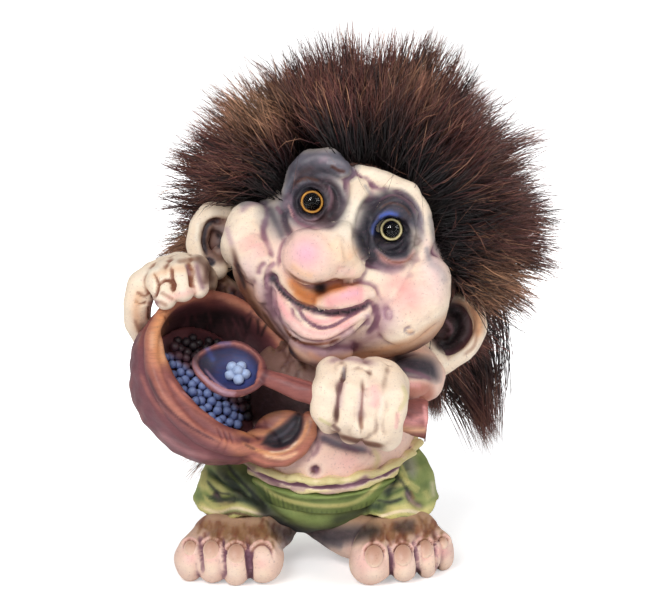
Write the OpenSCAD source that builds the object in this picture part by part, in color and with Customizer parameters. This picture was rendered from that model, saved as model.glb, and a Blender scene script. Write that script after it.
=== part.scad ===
// Norwegian troll figure: a cast and painted folk ornament with a fur wig, a bowl of berries and a spoon.
// The figure faces -Y and stands on z = 0. Left and right are its own, so its left is +X.

/* [Head] */
// Half width of the skull, without the cheeks
skull_w = 28; // [26:0.5:30]
// Half depth of the skull
skull_d = 30; // [28:0.5:32]
// Half height of the skull
skull_h = 30; // [28:0.5:32]
// How far each cheek swells out
cheek = 7.5; // [5:0.5:10]
// Lean of the head to its left
head_roll = 18; // [8:1:24]
// Turn of the face to its right
head_turn = 9; // [0:1:15]
// Height of the head's centre
head_z = 84.5; // [82:0.5:88]
// Radius of the ball of the nose
nose_r = 7.8; // [6:0.2:9]
// Thickness of the cast skin
skin = 2.4; // [1.6:0.2:3.4]

/* [Eyes] */
// Radius of each glass eye
eye_r = 3.5; // [2.8:0.1:4.2]
// Angle from the middle of the face to each eye
eye_lon = 25.5; // [23:0.5:28]
// Radius of the hollow round each eye
socket_r = 7.6; // [6:0.2:9]
// Gap between a hard inset piece and the skin around it
fit = 0.15; // [0.1:0.05:0.3]

/* [Body] */
// Half width of the body
body_w = 25; // [22:0.5:28]
// Half depth of the body
body_d = 24; // [21:0.5:27]
// Half height of the body
body_h = 27; // [25:0.5:29]
// Height of the body's centre
body_z = 36; // [34:0.5:38]
// Thickness of the waistband
band_t = 1.8; // [1:0.1:3]
// Height of the waistband
band_h = 7.5; // [5:0.5:9]
// Thickness of the shirt's frill
frill_t = 1.2; // [0.8:0.1:2]
// Waves round the shirt's frill
frill_waves = 18; // [12:1:22]

/* [Feet] */
// Length of a foot from heel to toes
foot_l = 31; // [27:0.5:34]
// Thickness of a toe
toe_d = 9.4; // [8:0.2:11]
// Turn of the left foot outwards
foot_turn = 34; // [20:1:40]
// Length of a toenail
nail_l = 5; // [3:0.2:6]

/* [Bowl and spoon] */
// Outer radius of the bowl's rim
bowl_r = 24.5; // [22:0.5:26]
// Depth of the bowl outside
bowl_h = 23; // [20:0.5:26]
// Wall of the bowl
bowl_t = 3.4; // [2.4:0.2:4.4]
// Radius of the bowl's lug
lug_r = 11.5; // [9:0.5:13]
// Diameter of one berry
berry_d = 3.7; // [2.8:0.1:4.2]
// Half length of the spoon's cup
cup_l = 10; // [8:0.5:11]
// Thickness of the spoon's handle
handle_d = 6; // [4.5:0.25:7]

/* [Fur] */
// Reach of the wig's tufts from the middle of the head
fur_r = 56; // [50:1:60]
// Thickness of the hide that the fur grows from
hide_t = 1.4; // [1:0.1:2]
// Thickness of a tuft at its root
tuft_d = 19; // [16:1:26]

/* [Hidden] */

skin_colour = [0.95, 0.84, 0.76];
big = 300;
sides = 8;

head_at = [-1, -2, head_z];
nose_at = [-4.4, -skull_d - 9.5, 3];
eye_lat = 27.5;
brow_lon = 22;
iris_t = 0.8;
wire_d = 0.9;
wire_l = 9;
mouth_lon = 28;
mouth_lat = -15;
skull_swells = [
    [[0.80, -0.50, -0.26], 27, cheek], [[-0.80, -0.50, -0.26], 27, cheek],
    [[0, -0.93, -0.32], 25, 5.5], [[0.05, -0.66, -0.75], 16, 3],
    [[0.33, -0.68, 0.70], 12, 3], [[-0.36, -0.68, 0.70], 12, 4]
];

body_at = [-8, -4, body_z];
body_swells = [
    [[0, -0.9, -0.25], 38, 4], [[0.35, -0.4, 0.72], 26, 4], [[-0.4, -0.4, 0.7], 26, 4], [[0, 0.8, -0.5], 35, 3]
];
band_lat = -33;
band_rise = 17;
plug_r = 8;
plug_t = 5;
plug_at = body_at + [-2, 4, -body_h - 1.6];

bowl_at = [-33.2, -29, 58];
bowl_tilt = 56;
bowl_turn = -48;
lug_turn = 31;
lug_z = -5;
berry_level = -bowl_h * 0.5;
fist_at = [0.5, -42, 51.5];
finger_r = 4.4;
arm_r = 8;
right_shoulder = body_at + [-body_w + 11, -0.5, body_h - 2.5];
left_shoulder = body_at + [body_w - 4, -1, body_h - 7];
right_wrist = bowl_at + [-11.8, 20, 21];
left_wrist = fist_at + [8.5, 14, -1.5];

hem_z = 11.5;
leg_r = 13.4;
right_hip = [-30, -7, 0];
left_hip = [10.5, -7, 0];
right_foot_at = [-30.5, -6, 0];
left_foot_at = [0, -4.5, 0];
toe_rows = [[-12.2, -3.5], [-5.4, -0.8], [1.6, 0], [9, -0.6]];

fur_at = [head_at.x + 3.2, head_at.y + 6.4, head_z + 6];
// Half size of the mass that the tufts stand on, as shares of their reach
fur_mass = [0.79, 0.6, 0.775];
mane_tips = [[-34, 18], [-20, 13], [-5, 10], [11, 11], [26, 15], [39, 20]];
// Rows of tufts: lean to the rear, first angle, last angle, step and share of the full reach
fur_rows = [[-24, -62, 74, 17, 0.86], [2, -98, 114, 13.25, 1], [30, -100, 100, 25, 0.97], [62, -90, 120, 52, 0.86]];

// A point of the unit sphere, with longitude 0 facing -Y
function aim(lat, lon) = [cos(lat) * sin(lon), -cos(lat) * cos(lon), sin(lat)];

// How much all swells and hollows lift the skin in one direction
function lift(dir, swells) = len(swells) == 0 ? 0 : [for (s = swells) 1] *
    [for (s = swells) s[2] * exp(-pow(acos(min(1, dir * s[0] / norm(s[0]))) / s[1], 2))];

// The radius of an ellipsoid in one direction
function egg(dir, size) = 1 / norm([dir.x / size.x, dir.y / size.y, dir.z / size.z]);

// A closed egg with swells and hollows, each given as its direction, spread in degrees and height
module blob(size, swells = [], grow = 0, rows = 12, cols = 20) {
    dirs = [for (r = [1 : rows - 1], c = [0 : cols - 1]) aim(180 * r / rows - 90, 360 * c / cols)];
    all = concat(dirs, [[0, 0, -1], [0, 0, 1]]);
    last = (rows - 2) * cols;
    low = len(dirs);
    polyhedron(
        [for (d = all) d * (egg(d, size) + lift(d, swells) + grow)],
        concat(
            [for (r = [0 : rows - 3], c = [0 : cols - 1]) let (n = (c + 1) % cols, a = r * cols)
                [a + c, a + cols + c, a + cols + n]],
            [for (r = [0 : rows - 3], c = [0 : cols - 1]) let (n = (c + 1) % cols, a = r * cols)
                [a + c, a + cols + n, a + n]],
            [for (c = [0 : cols - 1]) [low, c, (c + 1) % cols]],
            [for (c = [0 : cols - 1]) [low + 1, last + (c + 1) % cols, last + c]]
        )
    );
}

// A tube of balls joined one to the next, each given as its centre and radius
module chain(balls, fn = sides) {
    for (i = [1 : len(balls) - 1]) hull() {
        translate(balls[i - 1][0]) sphere(balls[i - 1][1], $fn = fn);
        translate(balls[i][0]) sphere(balls[i][1], $fn = fn);
    }
}

// A closed belt that lies on an egg: its lower and upper latitude and its thickness follow the longitude
module belt(size, swells, low, high, thick, cols = 48) {
    function at(lat, lon, out) = let (d = aim(lat, lon)) d * (egg(d, size) + lift(d, swells) + out);
    ring = [for (c = [0 : cols - 1]) let (a = 360 * c / cols)
        each [at(low(a), a, -1), at(low(a), a, thick(a)), at(high(a), a, thick(a)), at(high(a), a, -1)]];
    polyhedron(ring, [for (c = [0 : cols - 1], k = [0 : 3])
        let (n = (c + 1) % cols * 4, a = c * 4, m = (k + 1) % 4)
        each [[a + k, a + m, n + m], [a + k, n + m, n + k]]]);
}

// A closed upright stack of rings, each given as its centre, half width, half depth and wave height
module stack(rings, waves = 4, cols = 16) {
    top = len(rings) - 1;
    function at(g, a) = g[0] + [g[1] * sin(a), -g[2] * cos(a), g[3] * sin(a * waves)];
    points = concat([for (g = rings, c = [0 : cols - 1]) at(g, 360 * c / cols)], [rings[0][0], rings[top][0]]);
    end = cols * (top + 1);
    polyhedron(points, concat(
        [for (r = [0 : top - 1], c = [0 : cols - 1]) let (n = (c + 1) % cols, a = r * cols)
            each [[a + c, a + cols + c, a + cols + n], [a + c, a + cols + n, a + n]]],
        [for (c = [0 : cols - 1]) [end, c, (c + 1) % cols]],
        [for (c = [0 : cols - 1]) [end + 1, top * cols + (c + 1) % cols, top * cols + c]]
    ));
}

// Head

module on_head() translate(head_at) rotate([0, head_roll, 0]) rotate([0, 0, -head_turn]) children();

// A point over the face, at a latitude and longitude from the middle of the head
function face(lat, lon, out = 0) = let (d = aim(lat, lon))
    d * (egg(d, [skull_w, skull_d, skull_h]) + lift(d, skull_swells) + out);

module skull(grow = 0, rows = 12, cols = 18) blob([skull_w, skull_d, skull_h], skull_swells, grow, rows, cols);

// The mouth's line, from -1 at its right corner to 1 at its left, sagging in the middle
function mouth(t, rise, sag, out) = face(mouth_lat + rise - sag * (1 - t * t), mouth_lon * t, out);

module lip(rise, sag, out, r) chain([for (t = [-1 : 0.4 : 1]) [mouth(t, rise, sag, out), r]], 5);

// The ball, the bridge that widens down to it from between the brows, and the wing on its left
module nose() {
    root = [face(10, 0, 2.7), nose_r - 2];
    chain([[face(38, 2, -2.2), 3.4], [face(25, 3, -0.8), 4.2], [face(16, 4, 0.5), 5.2], root, [nose_at + [2, 4, 0], nose_r - 1.2]]);
    translate(nose_at) sphere(nose_r, $fn = 13);
    chain([[nose_at + [-3.5, 5.5, -1], 4.4], [nose_at + [8.5, 6.5, -1.5], 4.8], root], 7);
}

// The brow over one eye
module brow(s, high, thick) chain([for (a = [-70 : 35 : 70])
    [face(eye_lat + high * cos(a), s * eye_lon + brow_lon * sin(a), -0.6), thick]], 6);

module head_shape() {
    skull();
    nose();
    brow(-1, 19, 3.8);
    brow(1, 23, 3.2);
    lip(5.5, 3.5, -0.6, 2.6);
    lip(-2, 11.5, -0.4, 2.3);
}

module tongue_shape(grow = 0) chain([for (t = [-0.5 : 0.25 : 0.5]) [mouth(t, 0, 9, -1.6), 1.8 + grow]], 6);

module sockets(grow = 0) for (s = [-1, 1]) on_eye(s)
    translate([0, -2.6, 0]) scale([1, 0.5, 1.15]) sphere(socket_r + grow, $fn = 11);

module head_core() skull(-skin, 7, 11);

module on_eye(s) on_head() translate(face(eye_lat, s * eye_lon, -1.2)) children();

module eyes_room() for (s = [-1, 1]) on_eye(s) {
    sphere(eye_r + fit * 2, $fn = 12);
    rotate([-90, 0, 0]) cylinder(h = wire_l, d = wire_d + 2 * fit, $fn = 8);
}

module head() color(skin_colour) difference() {
    on_head() difference() {
        head_shape();
        lip(0, 7, 1, 1.5);
        tongue_shape(fit);
    }
    difference() {
        on_head() head_core();
        sockets(skin);
    }
    sockets();
    eyes_room();
    neck();
    bowl_room();
    spoon_room();
    arms_room();
}

module tongue() color([0.86, 0.55, 0.55]) on_head() tongue_shape();

// Ears

module ear_shape(grow = 0) chain([
    [[0, 0, 10], 4.5 + grow], [[5, 1, 8], 5 + grow], [[7, 1, 1], 5.2 + grow], [[3, 0, -7], 4.4 + grow],
    [[-1, -1, -10], 3.2 + grow], [[-2, 0, 0], 5 + grow], [[0, 0, 10], 4.5 + grow]
], 8);

module ear_hollow() chain([[[2, -6, 6], 4], [[3.6, -6, 1], 4.2], [[1, -6, -5], 2.6]], 8);

module ear_place(s) translate([s > 0 ? 28.5 : -33.5, -1, head_z + (s > 0 ? -23 : 4)])
    rotate([0, s > 0 ? 22 : -14, 0]) scale([s, 0.85, 1.12]) children();

module ears_room() for (s = [-1, 1]) ear_place(s) ear_shape();

module ear(s) difference() {
    ear_place(s) difference() { ear_shape(); ear_hollow(); }
    on_head() skull();
    arms_room();
}

module left_ear() color(skin_colour) ear(1);
module right_ear() color(skin_colour) ear(-1);

// Eyes

module eye_glass() difference() {
    sphere(eye_r, $fn = 40);
    translate([-eye_r * 2, 0, -eye_r * 2]) cube(eye_r * 4);
}

module eye_iris() rotate([-90, 0, 0]) cylinder(h = iris_t, r = eye_r - 0.3, $fn = 40);

module eye_wire() translate([0, iris_t, 0]) rotate([-90, 0, 0]) cylinder(h = wire_l - iris_t, d = wire_d, $fn = 16);

module left_eye_glass() color([0.75, 0.70, 0.35]) on_eye(1) eye_glass();
module right_eye_glass() color([0.70, 0.50, 0.15]) on_eye(-1) eye_glass();
module left_eye_iris() color([0.80, 0.75, 0.35]) on_eye(1) eye_iris();
module right_eye_iris() color([0.80, 0.55, 0.12]) on_eye(-1) eye_iris();
module left_eye_wire() color([0.5, 0.5, 0.52]) on_eye(1) eye_wire();
module right_eye_wire() color([0.5, 0.5, 0.52]) on_eye(-1) eye_wire();

// Body

function body(lat, lon, out = 0) = let (d = aim(lat, lon))
    body_at + d * (egg(d, [body_w, body_d, body_h]) + lift(d, body_swells) + out);

module body_shape(grow = 0, rows = 11, cols = 18)
    translate(body_at) blob([body_w, body_d, body_h], body_swells, grow, rows, cols);

module body_core() body_shape(-skin, 7, 10);

module neck() chain([
    [body_at + [2, 2, body_h - 10], 11], [body_at + [5, 3, body_h + 2], 10.5], [head_at + [0, 4, 10 - skull_h], 11]
]);

module plug_room() translate(plug_at) cylinder(h = plug_t, r = plug_r, $fn = 32);

module torso() color(skin_colour) difference() {
    body_shape();
    translate(body(-12, -3)) sphere(1.5, $fn = 10);
    body_core();
    neck();
    on_head() skull();
    bowl_room();
    spoon_room();
    arms_room();
    plug_room();
}

module foam_core() color([0.92, 0.86, 0.66]) difference() {
    union() {
        body_core();
        neck();
        on_head() head_core();
    }
    sockets(skin);
    on_head() tongue_shape(fit);
    eyes_room();
    bowl_room();
    right_arm_shape();
    left_arm_shape();
    plug_room();
}

module base_plug() color([0.55, 0.45, 0.35]) translate(plug_at) cylinder(h = plug_t, r = plug_r - fit, $fn = 32);

// Arms and hands

module right_arm_shape() chain([
    [right_shoulder, arm_r], [(right_shoulder + right_wrist) / 2 + [-0.5, 4.7, 0.3], arm_r - 1], [right_wrist, arm_r - 2]
]);

module left_arm_shape() chain([
    [left_shoulder, arm_r + 1], [(left_shoulder + left_wrist) / 2 + [7.5, 4.5, -2], arm_r], [left_wrist, arm_r - 1]
]);

// The palm and four fingers, each from its knuckle over the rim; places are from the wrist
module right_hand_shape() {
    palm = right_wrist + [-4.5, -7, 0.5];
    chain([[right_wrist, arm_r - 2.4], [palm, arm_r - 1.6], [palm + [3.5, -6, 0.5], finger_r + 1]]);
    chain([[palm + [-4, -2, -0.5], finger_r + 0.2], [palm + [-7.5, -7, -6], finger_r - 0.4], [palm + [-6.5, -11, -12], finger_r - 1.2]], 7);
    chain([[palm + [-2, -5, 1.5], finger_r], [palm + [-4.5, -12.5, -1.5], finger_r - 0.7], [palm + [-2, -17, -6.5], finger_r - 1.4]], 7);
    chain([[palm + [2.5, -7, 2], finger_r], [palm + [1.3, -15, 0.5], finger_r - 0.7], [palm + [3.5, -18.5, -4.5], finger_r - 1.4]], 7);
    chain([[palm + [7.5, -6, 2], finger_r - 0.4], [palm + [7.1, -13.5, 1], finger_r - 1], [palm + [8.5, -16.5, -3], finger_r - 1.7]], 7);
}

module left_hand_shape() {
    chain([[left_wrist, 7], [fist_at + [2, 8, 0], 9], [fist_at + [-6, 7, 1], 7.5]]);
    for (i = [0 : 3]) let (x = -7.2 + 6.2 * i, drop = 0.8 * i, r = finger_r - 0.2 * i) chain([
        [fist_at + [x, 5, 8.5 - drop], r], [fist_at + [x, -3, 6.5 - drop], r],
        [fist_at + [x + 0.8, -3.6, -4 - drop], r], [fist_at + [x + 1, 4, -7.5 - drop], r - 0.6]
    ], 7);
}

module arms_room() {
    right_arm_shape();
    left_arm_shape();
    right_hand_shape();
    left_hand_shape();
}

module right_arm() color(skin_colour) difference() {
    right_arm_shape();
    right_hand_shape();
    bowl_room();
}

module left_arm() color(skin_colour) difference() {
    left_arm_shape();
    left_hand_shape();
    spoon_room();
}

module right_hand() color(skin_colour) difference() {
    right_hand_shape();
    bowl_room();
}

module left_hand() color(skin_colour) difference() {
    left_hand_shape();
    spoon_room();
}

// Bowl

module on_bowl() translate(bowl_at) rotate([0, bowl_tilt, bowl_turn]) children();

// The bowl's outer line, from the middle of its foot up to the rim
function bowl_line(grow = 0) = concat(
    [[0, -bowl_h - grow], [bowl_r * 0.42, -bowl_h - grow]],
    [for (a = [15 : grow > 0 ? 30 : 15 : 75])
        [bowl_r * (0.42 + 0.56 * sin(a)) + grow, -bowl_h + (bowl_h - 6) * (1 - cos(a)) - grow / 2]],
    [[bowl_r * 0.98 + grow, -6], [bowl_r * 0.955 + grow, -5], [bowl_r + grow, -3.4], [bowl_r + grow, -1],
        [bowl_r - 1 + grow, grow], [0, grow]]
);

// The bowl's hollow up to a height, drawn in by a clearance
function hollow_line(top, shrink = 0) = let (r = bowl_r - bowl_t - shrink, deep = bowl_h - bowl_t - shrink) concat(
    [[0, top], [r * (0.3 + 0.7 * sqrt(1 - pow(max(0, -top) / deep, 2))), top]],
    [for (a = [90 : -15 : 0]) if (-deep * cos(a) < top - 0.5) [r * (0.3 + 0.7 * sin(a)), -deep * cos(a)]],
    [[0, -deep]]
);

module lug(grow = 0) rotate([0, 0, lug_turn]) translate([bowl_r - 1.5, 0, lug_z]) rotate_extrude($fn = grow > 0 ? 20 : 48) polygon([
    [0, -4 - grow], [lug_r - 4, -4 - grow], [lug_r - 1 + grow, -2.4], [lug_r + grow, -0.4],
    [lug_r - 1.2 + grow, 1.4 + grow], [lug_r - 3.4, 1 + grow], [lug_r - 4.4, grow - 1.6], [0, grow - 2.2]
]);

module bowl_room() on_bowl() {
    rotate_extrude($fn = 20) polygon(bowl_line(fit * 2.6));
    lug(fit * 2);
}

module bowl() color([0.68, 0.42, 0.33]) on_bowl() difference() {
    union() {
        rotate_extrude($fn = 64) polygon(bowl_line());
        lug();
    }
    rotate_extrude($fn = 64) polygon(hollow_line(0));
    translate([0, 0, -1]) cylinder(h = 3, r = bowl_r - bowl_t, $fn = 64);
}

module bowl_berries() color([0.35, 0.45, 0.80]) on_bowl() {
    rotate_extrude($fn = 48) polygon(hollow_line(berry_level, fit));
    for (i = [0 : 40]) let (r = 0.62 * berry_d * sqrt(i + 0.3), a = 137.5 * i)
        translate([r * cos(a), r * sin(a), berry_level + berry_d * 0.3 + 0.4 * sin(97 * i)]) sphere(d = berry_d, $fn = 24);
}

// Spoon

spoon_at = [-32.4, -41, 60.8];
spoon_lean = 46;
handle_start = spoon_at + [cup_l - 1.5, -1, -1.5];
handle_end = [17.5, -33.5, 45.5];

// The handle's middle line, from 0 at the cup to 1 at its end, bowed towards the front
function handle(t) = handle_start + (handle_end - handle_start) * t + [0, -6.5 * sin(180 * t), 0];
function handle_size(t) = handle_d / 2 * (1 + 0.5 * pow(max(0, 1 - 4 * t), 2) + 0.75 * pow(t, 6));

module handle_shape(grow = 0) chain([for (t = [0 : 0.125 : 1]) [handle(t), handle_size(t) + grow]], 7);

module on_spoon() translate(spoon_at) rotate([spoon_lean, 12, 0]) children();

module cup(grow = 0) scale([cup_l + grow, cup_l * 0.86 + grow, cup_l * 0.62 + grow]) sphere(1, $fn = 16);

module cup_half(grow = 0) difference() {
    cup(grow);
    translate([-big / 2, -big / 2, 0.6 + grow]) cube(big);
}

module spoon_room() {
    on_spoon() cup_half(fit);
    handle_shape(fit);
}

module spoon() color([0.62, 0.33, 0.30]) difference() {
    union() {
        on_spoon() cup_half();
        handle_shape();
    }
    on_spoon() translate([0, 0, 0.9]) cup(-1.5);
}

module spoon_berries() color([0.55, 0.68, 0.92]) on_spoon() for (i = [0 : 4]) let (a = 72 * i)
    translate([3 + 2.1 * cos(a), 2.1 * sin(a), -2.1 + 0.04 * i]) sphere(d = 2.4, $fn = 24);

// Clothes

function band_low(a) = band_lat - band_h + band_rise * (1 - cos(a)) / 2;
function band_high(a) = band_lat + band_h + band_rise * (1 - cos(a)) / 2;
function frill_low(a) = band_high(a) + 1.5;
function frill_high(a) = band_high(a) + 8 + 1.5 * sin(a * frill_waves);

module frill_shape() translate(body_at) belt([body_w, body_d, body_h], body_swells,
    function (a) frill_low(a), function (a) frill_high(a),
    function (a) frill_t + 0.5 + 0.6 * sin(a * frill_waves), round(frill_waves * 2.5));

// A plain belt that the frill fits inside
module frill_room() translate(body_at) belt([body_w, body_d, body_h], body_swells,
    function (a) frill_low(a) - 1, function (a) band_high(a) + 10.5, function (a) frill_t + 1.5, 18);

module band_shape(cols = 30) translate(body_at) belt([body_w, body_d, body_h], body_swells,
    function (a) band_low(a), function (a) band_high(a), function (a) band_t, cols);

// Upright grooves round the body, between two latitudes that follow the longitude
module gathers(count, low, high, out, r) for (i = [0 : count - 1]) let (a = 360 * (i + 0.5) / count) hull() {
    translate(body(low(a), a, out)) sphere(r, $fn = 5);
    translate(body(high(a), a, out)) sphere(r, $fn = 5);
}

module shirt_frill() color([0.90, 0.84, 0.72]) difference() {
    frill_shape();
    gathers(8, function (a) frill_low(a) + 2, function (a) frill_high(a) + 1, frill_t + 0.6, 0.5);
    body_shape();
    bowl_room();
}

module waistband() color([0.50, 0.56, 0.28]) difference() {
    band_shape();
    gathers(8, function (a) band_low(a) + 2, function (a) band_high(a) - 2, band_t + 0.3, 0.6);
    body_shape();
    bowl_room();
}

module leg(at, wide) stack([
    [at + [0, 0, hem_z], wide - 2.4, 16, 0.9], [at + [0, 0, hem_z + 1.6], wide, 18, 1.1],
    [at + [0, 0, hem_z + 6], wide - 0.8, 17, 0.5], [at + [1, 0, hem_z + 12], wide - 2.2, 15, 0.3],
    [at + [1.5, 1, hem_z + 18], wide - 5, 11, 0]
]);

module trousers_shape() {
    leg(right_hip, leg_r);
    leg(left_hip, leg_r - 1);
    translate([body_at.x - 2, body_at.y, hem_z + 5]) blob([25, 21, 9.5], [], 0, 6, 14);
}

module trousers() color([0.42, 0.50, 0.24]) difference() {
    trousers_shape();
    right_foot_place() foot_shape(1);
    left_foot_place() foot_shape(-1);
    body_shape();
    band_shape();
    frill_room();
    bowl_room();
    plug_room();
}

// Feet

module foot_shape(s) scale([s, 1, 1]) difference() {
    union() {
        chain([[[-2, 0, 8], 9], [[-4, -16, 8], 8.5]]);
        hull() {
            translate([-9, -20, 7]) sphere(7, $fn = 7);
            translate([8, -20, 7]) sphere(7, $fn = 7);
            translate([1, -4, 8]) sphere(8, $fn = 7);
        }
        for (i = [0 : 3]) let (t = toe_rows[i], r = toe_d / 2 + (i == 3 ? 0.7 : 0) - (i == 0 ? 0.4 : 0)) chain([
            [[t[0] * 0.8, -18, 7], r + 0.6], [[t[0], -foot_l + 4 - t[1], 5], r]
        ], 6);
    }
    translate([-big / 2, -big / 2, -big]) cube(big);
}

module nails_shape(s, grow = 0) scale([s, 1, 1]) for (i = [0 : 3]) let (t = toe_rows[i])
    translate([t[0], -foot_l + 3.5 - t[1], 9.2]) rotate([28, 0, 0]) scale([1, nail_l / 4.6, 0.5])
        sphere(2.5 + grow, $fn = grow > 0 ? 8 : 24);

module right_foot_place() translate(right_foot_at) children();
module left_foot_place() translate(left_foot_at) rotate([0, 0, foot_turn]) children();

module foot(s) difference() {
    foot_shape(s);
    nails_shape(s, fit);
}

module right_foot() color(skin_colour) difference() { right_foot_place() foot(1); plug_room(); body_shape(); }
module left_foot() color(skin_colour) difference() { left_foot_place() foot(-1); plug_room(); body_shape(); }
module right_toenails() color([0.80, 0.62, 0.55]) right_foot_place() nails_shape(1);
module left_toenails() color([0.80, 0.62, 0.55]) left_foot_place() nails_shape(-1);

// Fur

// The space behind the hairline and above the nape
module hair_room(nape, ahead = 0) intersection() {
    on_head() rotate([30, 0, 0]) translate([-big / 2, -4.3 - ahead, -big / 2]) cube(big);
    on_head() translate([-big / 2, -big / 2, nape]) cube(big);
}

module wig_backing() color([0.30, 0.20, 0.15]) difference() {
    intersection() {
        on_head() skull(hide_t);
        hair_room(-15);
    }
    on_head() skull();
    ears_room();
    arms_room();
}

// One tuft from the skull outwards: fan is its angle from straight up, back its lean to the rear
module tuft(fan, back, reach) {
    dir = [sin(fan) * cos(back), sin(back), cos(fan) * cos(back)];
    hull() {
        translate(fur_at + dir * 26) sphere(d = tuft_d, $fn = 5);
        translate(fur_at + dir * (reach - 12)) sphere(d = tuft_d * 0.66, $fn = 5);
        translate(fur_at + dir * reach) sphere(1.2, $fn = 4);
    }
}

module fur_shape() {
    for (row = fur_rows, fan = [row[1] : row[3] : row[2]])
        tuft(fan, row[0], fur_r * row[4] * (1 + 0.05 * sin(fan * 37)));
    intersection() {
        translate(fur_at + [0, 6, 0]) blob(fur_r * fur_mass, [], 0, 9, 16);
        hair_room(-12, 3.3);
    }
}

module under_fur() {
    on_head() skull(hide_t);
    ears_room();
    right_arm_shape();
    left_arm_shape();
    right_hand_shape();
    body_shape();
}

module wig_fur() color([0.28, 0.17, 0.14]) difference() {
    fur_shape();
    under_fur();
    bowl_room();
}

module back_mane() color([0.35, 0.22, 0.17]) difference() {
    for (tip = mane_tips) chain([
        [[tip[0] * 0.5, 20, head_z - 16], 9], [[tip[0] * 0.8, 25, body_z + 8], 8], [[tip[0] + 3, 26, tip[1]], 1.4]
    ], 7);
    under_fur();
    fur_shape();
    frill_room();
    band_shape(18);
    trousers_shape();
}

head();
left_ear();
right_ear();
tongue();
left_eye_glass();
right_eye_glass();
left_eye_iris();
right_eye_iris();
left_eye_wire();
right_eye_wire();
torso();
left_arm();
right_arm();
left_hand();
right_hand();
bowl();
bowl_berries();
spoon();
spoon_berries();
shirt_frill();
waistband();
trousers();
left_foot();
right_foot();
left_toenails();
right_toenails();
wig_backing();
wig_fur();
back_mane();
foam_core();
base_plug();
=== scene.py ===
"""Looks of a Norwegian troll figure: painted cast skin, glass eyes, fur wig, a bowl of berries and a spoon.

The forms are worked in millimetres and handed over in metres. Places seen from the front are given as
picture points: pixels of a 665 x 603 frame seen from the camera below.
"""
import math

import bmesh
import bpy
import numpy as np
from mathutils import Euler, Matrix, Vector


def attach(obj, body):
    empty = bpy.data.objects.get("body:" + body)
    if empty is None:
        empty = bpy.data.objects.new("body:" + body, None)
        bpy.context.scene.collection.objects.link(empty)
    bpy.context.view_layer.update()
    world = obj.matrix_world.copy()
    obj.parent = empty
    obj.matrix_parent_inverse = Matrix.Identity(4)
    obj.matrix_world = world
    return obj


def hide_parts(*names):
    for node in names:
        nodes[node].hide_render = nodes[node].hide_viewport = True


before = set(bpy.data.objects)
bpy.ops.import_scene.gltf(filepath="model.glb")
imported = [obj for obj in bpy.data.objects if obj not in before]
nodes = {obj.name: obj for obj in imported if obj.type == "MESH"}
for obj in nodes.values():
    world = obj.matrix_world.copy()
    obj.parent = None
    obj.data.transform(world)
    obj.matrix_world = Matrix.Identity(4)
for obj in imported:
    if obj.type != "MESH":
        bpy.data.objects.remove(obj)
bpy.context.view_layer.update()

# Camera and picture points

LENS_POINT = np.array([-5.4, -689.365, 192.4785])
TILT = math.radians(10)
FORWARD = np.array([0, math.cos(TILT), -math.sin(TILT)])
UPWARD = np.array([0, math.sin(TILT), math.cos(TILT)])
FOCUS = 2520
MIDDLE = (332.5, 301.5)


def set_camera():
    lens = bpy.data.cameras.new("picture_camera")
    lens.sensor_width = 36
    lens.lens = FOCUS / 665 * 36
    lens.clip_start = 0.05
    camera = bpy.data.objects.new("picture_camera", lens)
    bpy.context.scene.collection.objects.link(camera)
    camera.location = LENS_POINT * 0.001
    camera.rotation_euler = (math.radians(90) - TILT, 0, 0)
    bpy.context.scene.camera = camera


def picture(points):
    """Where points in millimetres are seen, in picture points."""
    away = np.asarray(points, float) - LENS_POINT
    reach = away @ FORWARD
    return np.stack([MIDDLE[0] + FOCUS * away[:, 0] / reach, MIDDLE[1] - FOCUS * (away @ UPWARD) / reach], 1)


def sight(x, y, depth):
    """The point behind a picture point, on the upright plane at that depth (Y in millimetres)."""
    line = FORWARD + np.array([1, 0, 0]) * (x - MIDDLE[0]) / FOCUS + UPWARD * (MIDDLE[1] - y) / FOCUS
    return LENS_POINT + line * (depth - LENS_POINT[1]) / line[1]


def ring(x, y, wide, high=None, first=0, last=360, count=12):
    """Picture points on an oval, counted clockwise from the right."""
    turns = np.radians(np.linspace(first, last, count + 1))
    return [(x + wide * math.cos(a), y + (high or wide) * math.sin(a)) for a in turns]


def bend(points, steps=5):
    """A smooth line through a few points."""
    p = np.array(points, float)
    if len(p) < 3:
        return p
    p = np.vstack([2 * p[0] - p[1], p, 2 * p[-1] - p[-2]])
    out = []
    for a, b, c, d in zip(p[:-3], p[1:-2], p[2:-1], p[3:]):
        for t in np.arange(steps) / steps:
            out.append(0.5 * (2 * b + (c - a) * t + (2 * a - 5 * b + 4 * c - d) * t**2 + (3 * b - a - 3 * c + d) * t**3))
    return np.array(out + [p[-2]])


# Paints, as they look in plain light

def paint_colour(red, green, blue):
    return np.array([((c / 255 + 0.055) / 1.055) ** 2.4 if c > 10 else c / 255 / 12.92 for c in (red, green, blue)])


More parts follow.
